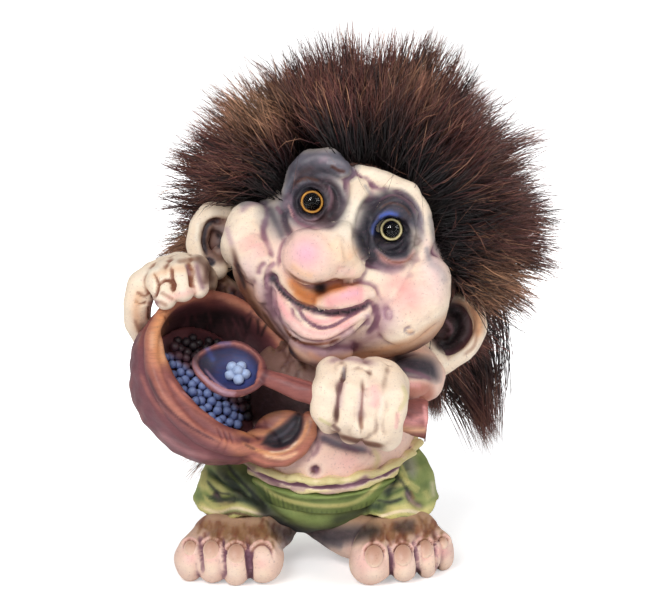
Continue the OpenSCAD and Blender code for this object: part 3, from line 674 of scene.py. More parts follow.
    clay.fill(
        ([(284, 250), (290, 239), (302, 232), (330, 232), (344, 210), (350, 182), (364, 190), (357, 225), (360, 250), (363, 272), (352, 281),
          (334, 276), (324, 279), (311, 281), (297, 276), (287, 264)], 3, "cream", 0.9),
        # painted shade round the mouth and chin, beside the corners of the mouth and down the cheek on the left
        ([(262, 286), (272, 286), (280, 310), (292, 332), (310, 344), (334, 350), (318, 368), (294, 356), (274, 334), (260, 310)], 9, "mauve", 0.7),
        ([(304, 344), (330, 347), (354, 338), (372, 326), (378, 340), (350, 358), (322, 364)], 7, "plum", 0.5),
        ([(378, 300), (392, 300), (400, 320), (388, 338), (372, 340)], 9, "mauve", 0.35),
        ([(240, 262), (252, 262), (262, 300), (276, 330), (262, 326), (246, 296)], 8, "lilac", 0.35),
        # broad tones: cool temple, painted shade along the jaw, blush
        ([(226, 270), (236, 300), (258, 332), (284, 356), (318, 368), (300, 352), (276, 330), (258, 304), (246, 280)], 9, "umber", 0.55),
        ([(330, 366), (380, 362), (430, 346), (458, 320), (448, 318), (424, 338), (384, 350), (340, 356)], 8, "umber", 0.5),
        ([(262, 200), (284, 205), (292, 240), (276, 236), (262, 220)], 9, "slate", 0.55),
        ([(424, 240), (446, 256), (440, 300), (424, 270)], 10, "lilac", 0.35),
        ([(288, 150), (350, 150), (352, 176), (330, 176), (312, 176), (297, 186), (288, 215), (280, 205)], 6, "slate", 0.9),
        ([(292, 168), (322, 164), (336, 176), (312, 180), (296, 192), (288, 204)], 5, "soot", 0.7),
        # sockets
        (ring(316, 203, 31, 29), 6, "slate", 0.95), (ring(315, 203, 25, 25), 6, "soot", 0.9), (ring(325, 203, 16, 24), 5, "bark", 0.6), (ring(311, 202, 17, 17), 3, "night", 0.8),
        ([(386, 190), (404, 194), (418, 212), (420, 240), (410, 262), (392, 270), (372, 264), (358, 246), (357, 222), (366, 202)],
         5, "soot", 0.95),
        ([(372, 232), (374, 214), (388, 204), (406, 208), (412, 226), (408, 248), (394, 256), (378, 250)], 4, "night", 0.6),
        ([(416, 206), (424, 222), (424, 240), (416, 240), (412, 222)], 4, "ash", 0.5), ([(294, 176), (306, 170), (312, 180), (298, 188)], 4, "ash", 0.3),
        ([(364, 204), (374, 214), (368, 232), (370, 250), (384, 266), (366, 258), (356, 240), (357, 218)], 5, "night", 0.9),
        ([(376, 214), (396, 204), (412, 214), (412, 228), (394, 222), (378, 228)], 4, "slate", 0.35),
        ([(410, 226), (420, 232), (424, 252), (418, 262), (410, 256)], 3.5, "cream", 0.5),
        ([(376, 250), (390, 259), (406, 258), (414, 250), (410, 260), (398, 266), (382, 262)], 2.5, "rose", 0.8),
    )
    clay.brush(
        # blush on the cheeks and the nose, and a painted highlight down the bridge of the nose
        ([(246, 236), (252, 250)], 12, "blush", 0.45), ([(258, 242), (262, 258)], 9, "rose", 0.6), ([(400, 290), (410, 296)], 17, "blush", 0.75),
        ([(308, 254)], 23, "rose", 0.95), ([(307, 250)], 12, "lilac", 0.8), ([(318, 264)], 10, "apricot", 0.5), ([(338, 250), (350, 262)], 10, "apricot", 0.6),
        ([(292, 262), (300, 272), (314, 277)], 6, "apricot", 0.6), ([(350, 228), (362, 200)], 9, "ivory", 0.5),
        # shade under the nose
        ([(288, 276), (296, 286), (306, 294), (318, 294), (334, 288), (352, 286)], 6, "orange", 0.95),
        ([(294, 290), (306, 300), (318, 302)], 5, "orange", 0.9), ([(340, 284), (360, 284)], 3, "umber", 0.6),
        ([(320, 287)], 5.6, "black", 1.0), ([(320, 287)], 4.6, "black", 1.0),
        # lips, tongue and mouth, with painted shade in the parting and a painted highlight on the lower lip
        ([(322, 304), (345, 298), (366, 298)], 8.5, "lip", 0.95), ([(346, 290), (364, 290)], 5, "lip", 0.8), ([(340, 296), (360, 292)], 3.5, "lilac", 0.6),
        ([(276, 290), (283, 308), (296, 325), (312, 334), (328, 334), (344, 326), (362, 312)], 5, "lip", 0.9),
        ([(288, 318), (306, 333), (326, 336), (344, 328)], 2.6, "ivory", 0.45),
        ([(303, 313), (316, 321), (330, 321), (344, 314)], 3.4, "lip", 0.95),
        ([(271, 273), (280, 289), (296, 303), (316, 310), (338, 313), (358, 309), (372, 302)], 2.2, "night", 0.92),
        ([(297, 305), (305, 319), (318, 327), (332, 326), (348, 317), (366, 306)], 1.8, "plum", 0.95),
        ([(290, 300), (300, 312), (304, 320)], 2.2, "plum", 0.6), ([(271, 276), (275, 282)], 4, "night", 0.9),
        ([(270, 284), (271, 300), (276, 320)], 5, "plum", 0.65), ([(273, 296), (280, 318), (288, 330)], 2, "plum", 0.5),
        ([(374, 302), (378, 314), (375, 326), (366, 335)], 2.6, "plum", 0.7), ([(376, 302), (384, 316), (378, 334)], 6, "mauve", 0.4), ([(368, 314), (368, 326)], 3.2, "mauve", 0.8),
        ([(282, 324), (294, 339), (310, 344), (328, 343), (342, 337)], 1.7, "umber", 0.9),
        ([(332, 344), (346, 347), (358, 344)], 5, "plum", 0.75), ([(340, 338), (356, 330)], 5, "mauve", 0.6),
        # eyes: dark rims, folds, blue shadow
        (ring(*RIGHT_EYE, 14), 2.6, "night", 0.9), (ring(*LEFT_EYE, 14.5), 3.4, "night", 0.95),
        (ring(*RIGHT_EYE, 19, 20, 60, 200), 1.6, "mauve", 0.45), (ring(*RIGHT_EYE, 19, 20, 230, 400), 1.4, "ash", 0.35), ([(322, 180), (334, 190), (336, 204), (328, 220)], 2.0, "night", 0.75),
        ([(328, 184), (332, 198), (328, 212)], 1.6, "mauve", 0.6), ([(294, 184), (306, 178), (320, 181)], 1.8, "umber", 0.6),
        ([(290, 206), (296, 220), (308, 227), (322, 229)], 1.9, "plum", 0.9), ([(288, 204), (293, 218)], 1.2, "rose", 0.7),
        ([(330, 165), (338, 170), (346, 172)], 1.8, "cocoa", 0.9), ([(326, 162), (336, 164)], 2.2, "ash", 0.8),
        ([(283, 206), (285, 222), (291, 236)], 3.2, "night", 0.75), ([(276, 206), (282, 214)], 2.5, "plum", 0.7),
        ([(378, 219), (388, 214), (399, 217)], 3.4, "azure", 0.95), ([(373, 236), (374, 226), (380, 220)], 2.8, "azure", 0.6),
        ([(378, 210), (390, 203), (404, 207), (412, 218)], 1.3, "cocoa", 0.7), ([(376, 202), (392, 195), (408, 202), (417, 216)], 1.4, "plum", 0.6),
        ([(372, 262), (386, 270), (402, 270)], 4.5, "mauve", 0.5), ([(378, 252), (390, 261), (404, 262), (414, 256)], 1.1, "umber", 0.6),
        ([(364, 184), (372, 196)], 2, "ash", 0.4), ([(400, 188), (416, 204), (424, 226)], 2.0, "ash", 0.55),
        ([(426, 246), (430, 262)], 3, "ash", 0.6), ([(428, 262), (440, 270), (446, 284)], 5, "ash", 0.4),
        # dimples and small lines, with painted shade along the jaw
        ([(266, 262), (260, 268), (259, 275)], 3.2, "mauve", 0.5), ([(276, 262), (268, 270), (266, 284)], 2.8, "mauve", 0.7),
        ([(386, 312), (390, 320)], 4.5, "mauve", 0.6), (ring(388, 315, 4, 6, 120, 400, 8), 1.4, "mauve", 0.6), ([(410, 332)], 3.6, "tan", 0.4), (ring(410, 331, 5, 3.4, 0, 300, 8), 1.3, "ash", 0.5),
        ([(236, 272), (245, 298), (262, 324), (284, 347), (306, 366)], 3.0, "umber", 0.75), ([(262, 326), (284, 350), (304, 366)], 2.2, "night", 0.6),
        ([(352, 362), (386, 358), (422, 345), (446, 326), (458, 304)], 4.5, "tan", 0.6), ([(370, 363), (402, 356), (430, 342)], 2.2, "cocoa", 0.7),
        ([(306, 352), (322, 360), (340, 358)], 4, "tan", 0.5), ([(292, 348), (312, 362)], 3, "apricot", 0.5),
        ([(294, 190), (300, 174), (314, 168)], 3, "bark", 0.5), ([(300, 164), (316, 157), (334, 160), (346, 166)], 2.4, "ash", 0.55),
        ([(308, 176), (324, 170), (342, 178)], 2.6, "night", 0.5), ([(284, 210), (290, 192)], 3, "mauve", 0.45), ([(318, 162), (328, 158)], 3, "mauve", 0.4),
        ([(233, 262), (241, 274), (246, 284)], 1.6, "umber", 0.8), ([(262, 310), (276, 332), (294, 352)], 1.8, "cocoa", 0.8),
        ([(240, 212), (250, 204), (262, 202)], 3, "mauve", 0.55), ([(278, 268), (280, 250), (286, 238)], 2.4, "plum", 0.5),
    )
    # the nose last, with painted shade along its crisp lower edge and a painted highlight down its bridge
    clay.fill(
        ([(283, 256), (287, 244), (297, 233), (314, 229), (331, 231), (341, 237), (347, 247), (350, 262), (355, 277), (350, 281),
          (342, 279), (333, 277), (324, 280), (311, 282), (298, 277), (287, 267)], 2.2, "cream", 0.92))
    clay.brush(
        ([(306, 254)], 24, "rose", 0.85), ([(306, 253)], 12, "lilac", 0.75), ([(330, 240), (350, 262)], 9, "apricot", 0.45),
        ([(340, 238), (356, 206)], 8, "ivory", 0.55), ([(290, 264), (302, 273), (314, 277)], 4, "apricot", 0.6), ([(336, 268), (356, 274)], 5, "rose", 0.4),
        ([(286, 269), (297, 279), (312, 284), (325, 282.5), (335, 279), (343, 281), (352, 284.5), (361, 281)], 1.3, "umber", 0.8),
        ([(413, 260), (401, 281), (388, 302)], 4.5, "cream", 0.75), ([(404, 276), (398, 290)], 8, "blush", 0.4),
        # painted shade that draws the jaw against the bowl and the body, with lighter bands beside it
        ([(232, 246), (238, 268), (248, 294), (264, 324), (282, 344), (300, 360)], 3.0, "cocoa", 0.85), ([(236, 262), (246, 290)], 2, "night", 0.5),
        ([(252, 308), (272, 334), (298, 358)], 2.2, "night", 0.75), ([(246, 284), (258, 308), (276, 334)], 5, "tan", 0.35),
        ([(300, 362), (330, 368), (372, 364), (410, 352), (440, 334), (456, 312)], 4, "cocoa", 0.55),
        ([(340, 358), (376, 352), (412, 340), (440, 320)], 4, "tan", 0.45), ([(380, 340), (410, 336)], 5, "ivory", 0.4),
        ([(226, 226), (232, 246)], 3, "mauve", 0.5), ([(238, 206), (252, 200), (270, 202)], 4, "slate", 0.5),
        ([(268, 206), (276, 222), (284, 240)], 4, "soot", 0.55), ([(430, 212), (434, 236), (440, 256)], 3.5, "slate", 0.45))
    return clay.piece("head_skin", material, "head", slot="painted_skin")



# Ears

def make_ears(material):
    ear = Clay()
    rim = [(448, 300, 0, 2.4), (464, 304, -1, 2.4), (476, 318, -2, 2.3), (477, 336, -3, 2.3), (465, 352, -4, 2.5),
           (447, 364, -5, 2.5), (434, 376, -6, 1.6)]
    ear.limb(*[(sight(x, y, depth), size) for x, y, depth, size in rim])
    ear.ball(sight(457, 328, 0.5), (8.2, 3.0, 10.5), (0, 16, 0))
    ear.ball(sight(444, 350, -0.5), (7, 3.4, 5), (0, -35, 0))
    ear.limb((sight(428, 350, -6), 3.6), (sight(436, 360, -6.5), 3.2))
    ear.limb((sight(447, 308, 0), 2.2), (sight(455, 318, 0.5), 2.0), (sight(458, 332, 0), 1.8), (sight(450, 344, -1), 1.8))
    ear.skin(0.45, 3)
    ear.press([
        ([(450, 306), (462, 316), (464, 332), (452, 346), (440, 342)], 5.5, 2.0), ([(448, 330), (442, 338)], 4, 1.0),
        (ring(429, 353, 4.5, 4, 20, 320, 8), 1.5, 0.6), ([(470, 312), (473, 328), (462, 346)], 1.6, 0.5),
        ([(440, 346), (448, 352), (462, 346)], 1.8, 0.7)])
    ear.rough(7, 0.1, 4)
    ear.base("cream", "plum", "ivory", load=0.9)
    ear.brush(([(452, 300), (468, 306), (479, 322), (478, 338)], 3.5, "tan", 0.6), ([(478, 326), (474, 346), (462, 356)], 2, "umber", 0.4))
    # painted shade fills the hollow of the ear
    ear.fill(
        ([(446, 300), (462, 304), (470, 320), (467, 338), (452, 350), (436, 346), (430, 334), (440, 320)], 4, "bark", 0.95),
        ([(470, 300), (484, 310), (482, 330), (474, 330)], 5, "tan", 0.4))
    # the hollow darkened further with painted shade
    ear.brush(
        ([(448, 304), (457, 316), (457, 332), (446, 345), (436, 342)], 5.5, "black", 0.95), ([(466, 312), (468, 330), (458, 344)], 2, "ash", 0.5),
        ([(445, 318), (452, 330), (446, 336)], 2.2, "mauve", 0.6), (ring(429, 353, 4.5, 4, 20, 320, 8), 1.6, "ash", 0.7),
        ([(470, 306), (476, 322), (470, 340), (456, 354)], 2.4, "umber", 0.4), ([(436, 366), (426, 360), (420, 356)], 2.5, "plum", 0.6),
        ([(466, 350), (450, 362), (438, 372)], 3.0, "ivory", 0.8))
    ear.piece("left_ear_skin", material, "left_ear", slot="painted_skin")

    ear = Clay()
    rim = [(226, 211, 0, 3.0), (210, 214, -1, 3.4), (200, 227, -2, 3.2), (197, 244, -3, 3.0), (202, 260, -4, 3.2), (216, 268, -4, 3.4)]
    ear.limb(*[(sight(x, y, depth), size) for x, y, depth, size in rim])
    ear.ball(sight(217, 240, 2), (7.5, 3, 10))
    ear.limb((sight(215, 224, -1), 1.8), (sight(226, 228, -2), 1.8), (sight(229, 242, -2), 1.9), (sight(220, 252, -2), 2.2))
    ear.skin(0.45, 3)
    ear.press([([(222, 220), (209, 224), (205, 240), (208, 254)], 3, 1.5), ([(218, 234), (222, 244), (216, 248)], 2.6, 1.0),
               ([(206, 258), (214, 262)], 2.6, 1.2), ([(203, 222), (200, 240)], 1.4, 0.4)])
    ear.rough(7, 0.1, 5)
    ear.base("cream", "cocoa", "ivory", load=0.9)
    # painted shade fills the hollow of the ear
    ear.fill(([(214, 220), (230, 222), (236, 244), (226, 262), (208, 262), (203, 244), (206, 226)], 4, "cocoa", 0.7),
             ([(214, 226), (228, 228), (230, 244), (218, 250)], 3.5, "ash", 0.45))
    # painted shade in the hollow and the folds, and a lighter rim
    ear.brush(([(220, 219), (208, 225), (204, 240), (207, 256)], 2.2, "night", 0.9), ([(206, 258), (213, 262), (208, 266)], 2.8, "night", 0.9),
              ([(216, 232), (222, 242), (217, 248)], 2, "black", 0.8), ([(198, 222), (196, 242)], 2, "ivory", 0.7),
              ([(226, 226), (232, 240)], 1.8, "plum", 0.7))
    ear.piece("right_ear_skin", material, "right_ear", slot="painted_skin")


# Body and arms

BODY_AT = (-8, -4, 36)
BODY = (25, 24, 27)
BODY_SWELLS = [((0, -0.9, -0.25), 38, 4), ((0.35, -0.4, 0.72), 26, 4), ((-0.4, -0.4, 0.7), 26, 4), ((0, 0.8, -0.5), 35, 3)]


def body_point(lat, lon, out=0.0):
    """A place over the body; latitude and longitude in radians, longitude 0 in front."""
    way = np.array([[math.cos(lat) * math.sin(lon), -math.cos(lat) * math.cos(lon), math.sin(lat)]])
    return Vector(BODY_AT) + Vector(way[0] * egg(way, BODY, BODY_SWELLS, out)[0])


def make_torso(material):
    clay = Clay()
    clay.blob(BODY_AT, BODY, BODY_SWELLS)
    clay.limb(((-6, -2, 53), 11), ((-3, -1, 65), 10.5), ((-1, 2, 64.5), 11))
    clay.settle()
    clay.skin(0.6, 3)
    clay.press([
        ([(315, 470)], 4.6, 2.0), (ring(315, 471, 7.5, 6.5), 2.2, -0.35),
        ([(246, 452), (270, 478), (310, 488), (350, 484), (378, 464)], 5, 0.7),
        ([(300, 436), (312, 452), (306, 462)], 2.4, 0.5), ([(318, 436), (344, 448), (374, 452)], 4, 0.9),
        ([(322, 440), (316, 456)], 2.2, 0.4), ([(352, 470), (366, 462), (374, 450)], 2.6, 0.35)])
    clay.rough(14, 0.22, 6)
    clay.base("sole", "plum", "cream", load=0.6)
    # dark brown with carved hair under the jaw; painted shade under the lug of the bowl, under the fist and in the gap
    # between the bowl and the spoon
    clay.fill(
        ([(230, 296), (262, 320), (300, 360), (318, 368), (316, 400), (300, 420), (262, 400), (230, 360)], 6, "cocoa", 0.75),
        ([(236, 440), (262, 452), (286, 464), (310, 452), (322, 432), (306, 426), (260, 430)], 9, "mauve", 0.75),
        ([(330, 440), (372, 446), (384, 440), (384, 420), (330, 420)], 7, "plum", 0.5),
        ([(240, 392), (268, 382), (300, 386), (322, 396), (324, 424), (310, 430), (300, 412), (270, 420), (244, 424)], 4, "bark", 0.95))
    clay.brush(
        ([(350, 462)], 15, "rose", 0.55), ([(330, 484)], 10, "rose", 0.35), ([(290, 480)], 10, "cream", 0.6),
        # painted shade in the navel and under the fist
        ([(315, 470)], 4.4, "plum", 0.95), ([(313, 472)], 2.4, "cocoa", 0.7), ([(312, 434), (318, 446), (312, 458)], 2.4, "plum", 0.45),
        ([(318, 436), (344, 446), (368, 450)], 4, "slate", 0.75), ([(326, 428), (350, 440)], 4, "night", 0.6),
        ([(340, 444), (360, 452)], 2.5, "plum", 0.6), ([(252, 462), (276, 478), (306, 488), (344, 486)], 3, "mauve", 0.6),
        ([(372, 448), (378, 458), (374, 472)], 3, "straw", 0.5), ([(356, 484), (372, 472)], 4, "straw", 0.4))
    clay.hair([(240, 306), (268, 326), (306, 362)], 14, 7, 130, 13)
    clay.piece("torso_skin", material, "torso", slot="painted_skin")


def make_right_arm(material):
    arm = Clay()
    arm.limb(((-22, 4, 58), 7.4), ((-33, 4.5, 68), 6.6), ((-41, 0, 76), 5.8), ((-44, -6, 78.4), 5.6))
    arm.skin(0.5, 4)
    arm.press([([(196, 268), (206, 280), (204, 292)], 2.4, 0.7), ([(214, 272), (226, 282)], 3, 0.5)])
    arm.rough(8, 0.2, 8)
    arm.base("cream", "cocoa", "ivory", load=0.9)
    # painted shade where the arm lies under the jaw and behind the bowl
    arm.fill(([(200, 262), (214, 258), (236, 284), (246, 310), (222, 312), (206, 292)], 6, "umber", 0.5),
             ([(206, 290), (240, 290), (290, 340), (270, 366), (226, 350)], 4, "wine", 0.9))
    arm.brush(([(204, 278), (212, 284), (222, 288)], 4.5, "night", 0.75), ([(212, 288), (236, 296)], 3.5, "slate", 0.85),
              ([(198, 262), (204, 274)], 2, "umber", 0.5))
    arm.hair([(204, 270), (222, 288), (240, 302)], 9, 9, 50, 10)
    arm.piece("right_arm_skin", material, "right_arm", slot="painted_skin")

    hand = Clay()
    hand.limb(((-43, -8, 78), 6.0), (sight(180, 274, -15), 6.2), (sight(163, 280, -20), 6.0))
    hand.limb((sight(158, 276, -20), 4.4), (sight(143, 284, -25), 4.2), (sight(137, 304, -25), 3.9), (sight(138, 324, -22), 3.5),
              (sight(146, 342, -18.5), 3.0))
    hand.limb((sight(168, 274, -21), 4.4), (sight(160, 282, -29), 3.8), (sight(165, 299, -33), 3.0))
    hand.limb((sight(181, 270, -20), 4.3), (sight(178, 276, -29), 3.7), (sight(183, 292, -33), 2.9))
    hand.limb((sight(196, 268, -16), 3.8), (sight(196, 274, -25), 3.3), (sight(200, 288, -30), 2.7))
    hand.skin(0.45, 3)
    hand.press([
        ([(152, 270), (158, 284), (152, 300)], 2.2, 0.9), ([(171, 266), (172, 280), (174, 292)], 2.0, 0.8),
        ([(188, 264), (190, 276), (192, 288)], 1.8, 0.7), ([(159, 284), (168, 280), (176, 286)], 1.5, 0.7),
        ([(134, 300), (140, 304), (148, 302)], 1.4, 0.5), ([(136, 292), (144, 294)], 1.2, 0.35), ([(152, 306), (153, 320)], 4, 1.0),
        ([(140, 330), (146, 338)], 1.4, 0.4), ([(148, 272), (154, 268)], 1.6, -0.3)])
    hand.rough(6, 0.12, 10)
    hand.base("cream", "umber", "ivory", load=1.0, deep=0.28)
    # painted shade between the fingers, under the hand and where it meets the arm; a painted highlight on the knuckles
    hand.brush(
        ([(140, 290), (136, 310), (140, 334)], 5, "tan", 0.45), ([(150, 276), (170, 270), (196, 268)], 4, "tan", 0.3), ([(164, 300), (182, 294), (198, 290)], 4, "blush", 0.4),
        ([(171, 266), (172, 280), (174, 292)], 1.6, "umber", 0.55), ([(188, 264), (190, 276), (192, 288)], 1.6, "umber", 0.5), ([(146, 304), (158, 302), (168, 306)], 2.4, "umber", 0.45),
        ([(154, 300), (154, 318)], 4, "plum", 0.9), ([(150, 326), (148, 344)], 3, "cocoa", 0.6), ([(159, 283), (168, 280), (176, 287)], 1.6, "umber", 0.45), ([(196, 256), (206, 268), (212, 284)], 5, "cocoa", 0.6), ([(140, 322), (146, 344)], 4, "cocoa", 0.45), ([(176, 262), (200, 258)], 2.4, "umber", 0.4),
        ([(160, 292), (174, 300)], 2.2, "umber", 0.4), ([(196, 262), (200, 280), (204, 290)], 3, "plum", 0.65),
        ([(136, 292), (144, 296), (150, 292)], 1.4, "umber", 0.7), ([(134, 318), (140, 334), (144, 346)], 2, "umber", 0.5),
        ([(186, 264), (190, 276)], 2, "mauve", 0.6), ([(142, 274), (160, 268)], 3, "ivory", 0.7), ([(210, 262), (204, 286)], 4, "cocoa", 0.6))
    hand.piece("right_hand_skin", material, "right_hand", slot="painted_skin")


def make_left_arm(material):
    arm = Clay()
    arm.limb(((13, -5, 56), 9), ((18, -12, 52), 7.6), (sight(412, 378, -18), 5.8), ((9, -28, 50), 6.4))
    arm.ball(sight(423, 384, -14), (3.5, 3.5, 5))
    arm.skin(0.5, 4)
    arm.press([([(396, 372), (412, 376), (428, 378)], 2, 0.5), ([(404, 398), (414, 402), (424, 398)], 3, 0.8)])
    arm.rough(8, 0.15, 11)
    arm.base("sole", "plum", "cream", load=0.8)
    arm.fill(([(394, 354), (432, 360), (438, 380), (420, 376), (394, 374)], 5, "soot", 0.9),
             ([(402, 386), (430, 384), (430, 402), (404, 404)], 4, "terracotta", 0.75))
    arm.brush(([(402, 368), (420, 374), (432, 380)], 2.4, "plum", 0.7), ([(405, 400), (414, 402), (422, 400)], 3, "wine", 0.7),
              ([(404, 384), (422, 386)], 3.5, "lip", 0.6), ([(398, 360), (432, 372)], 3, "night", 0.5))
    arm.piece("left_arm_skin", material, "left_arm", slot="painted_skin")

    fist = Clay()
    fist.limb(((9, -28, 50), 6.4), (sight(375, 392, -32), 9.5), (sight(352, 396, -34), 8.2), (sight(334, 394, -36), 6.5))
    for top, middle, low, end, size in (
            ((331, 371), (325, 392), (325, 412), (330, 422), 3.9), ((353, 371), (350, 392), (347, 416), (352, 432), 4.0),
            ((374, 374), (373, 396), (370, 420), (374, 436), 4.0), ((391, 382), (393, 398), (389, 420), (388, 438), 4.2)):
        fist.limb((sight(*top, -38), size), (sight(*middle, -45.2), size), (sight(*low, -45.2), size * 0.97), (sight(*end, -41), size * 0.85))
    fist.ball(sight(352, 378, -37), (9, 5, 3.6))
    fist.limb((sight(340, 376, -40.5), 3.2), (sight(338, 396, -44.9), 3.9), (sight(339, 418, -44.4), 3.7))
    fist.limb((sight(362, 376, -40.5), 3.4), (sight(361, 396, -45.2), 4.1), (sight(360, 424, -44.8), 3.9))
    fist.limb((sight(381, 384, -40.5), 3.6), (sight(381, 404, -45.2), 4.3), (sight(379, 430, -44), 4.0))
    fist.skin(0.45, 4)
    fist.press([
        ([(346, 366), (340, 384), (337, 404), (336, 424)], 2.4, 0.9), ([(342, 372), (344, 380)], 2, 0.5),
        ([(363, 378), (362, 400), (360, 424), (362, 438)], 2.2, 0.6), ([(383, 396), (380, 420), (380, 440)], 2.2, -0.5),
        ([(350, 368), (362, 368), (372, 374)], 2, 0.4), ([(366, 386), (366, 400)], 3, 0.4), ([(396, 412), (400, 424)], 2, 0.5)])
    fist.rough(7, 0.12, 12)
    fist.base("cream", "cocoa", "ivory", load=0.8, deep=0.45)
    # painted shade between the fingers, under the fist and where the chin hangs over it, with lighter knuckles
    fist.brush(
        ([(322, 384), (320, 404)], 5, "cream", 0.7), ([(350, 386), (346, 410)], 5, "cream", 0.6), ([(384, 380), (392, 410), (386, 436)], 7, "cream", 0.7),
        ([(346, 368), (340, 386), (338, 404), (336, 424)], 1.6, "cocoa", 0.8), ([(342, 380), (338, 410)], 4, "mauve", 0.4), ([(344, 366), (344, 380)], 2, "ash", 0.6),
        ([(363, 384), (362, 402), (360, 424)], 1.6, "umber", 0.5), ([(362, 390), (360, 420)], 4, "mauve", 0.35), ([(372, 384), (376, 398), (372, 408)], 6, "rose", 0.75),
        ([(361, 416), (362, 430)], 2, "umber", 0.5), ([(340, 436), (362, 442), (384, 446)], 2.4, "umber", 0.7),
        ([(318, 418), (332, 426)], 2.0, "straw", 0.5), ([(332, 424), (340, 432)], 2.6, "cocoa", 0.7), ([(402, 384), (406, 398), (398, 412)], 2.6, "straw", 0.4),
        ([(328, 362), (346, 358), (376, 364)], 3, "plum", 0.5), ([(330, 432), (350, 440), (384, 448)], 3, "cocoa", 0.7), ([(398, 412), (396, 430)], 2.2, "rose", 0.6), ([(352, 372), (362, 372)], 3, "cream", 0.6))
    fist.piece("left_hand_skin", material, "left_hand", slot="painted_skin")


def make_tongue(material):
    tongue = Clay()
    stations = []
    for t in (-0.12, 0.0, 0.12, 0.26, 0.38):
        stations.append((skull_point(-15 - 9 * (1 - t * t), 28 * t, -3.1), 1.7))
    tongue.limb(*stations)
    tongue.skin(0.35, 2)
    tongue.rough(4, 0.08, 13)
    tongue.base("lip", "plum", "rose", load=0.8, deep=0.2)
    tongue.brush(([(306, 318), (322, 322), (340, 318)], 3, "lip", 0.9))
    tongue.piece("tongue_skin", material, "tongue", slot="painted_tongue")


# Bowl, spoon and berries

BOWL_AT = Vector((-33.2, -29, 58))
BOWL_PLACE = Matrix.Translation(BOWL_AT) @ Matrix.Rotation(math.radians(-48), 4, "Z") @ Matrix.Rotation(math.radians(56), 4, "Y")
BOWL_R, BOWL_H, BOWL_T = 24.5, 23.0, 3.4
LUG_MIDDLE = Matrix.Rotation(math.radians(31), 4, "Z") @ Vector((BOWL_R - 1.5, 0, -5))
SPOON_AT = Vector((-32.4, -41, 60.8))
SPOON_PLACE = Matrix.Translation(SPOON_AT) @ Matrix.Rotation(math.radians(12), 4, "Y") @ Matrix.Rotation(math.radians(46), 4, "X")


def hollow(top, shrink=0.0):
    """The bowl's inner line from the edge at a height down to the middle."""
    r, deep = BOWL_R - BOWL_T - shrink, BOWL_H - BOWL_T - shrink
    line = [(r * (0.3 + 0.7 * math.sqrt(1 - (max(0, -top) / deep) ** 2)), top)]
    line += [(r * (0.3 + 0.7 * math.sin(math.radians(a))), -deep * math.cos(math.radians(a)))
             for a in range(88, 0, -6) if -deep * math.cos(math.radians(a)) < top - 0.5]
    return line + [(0, -deep)]


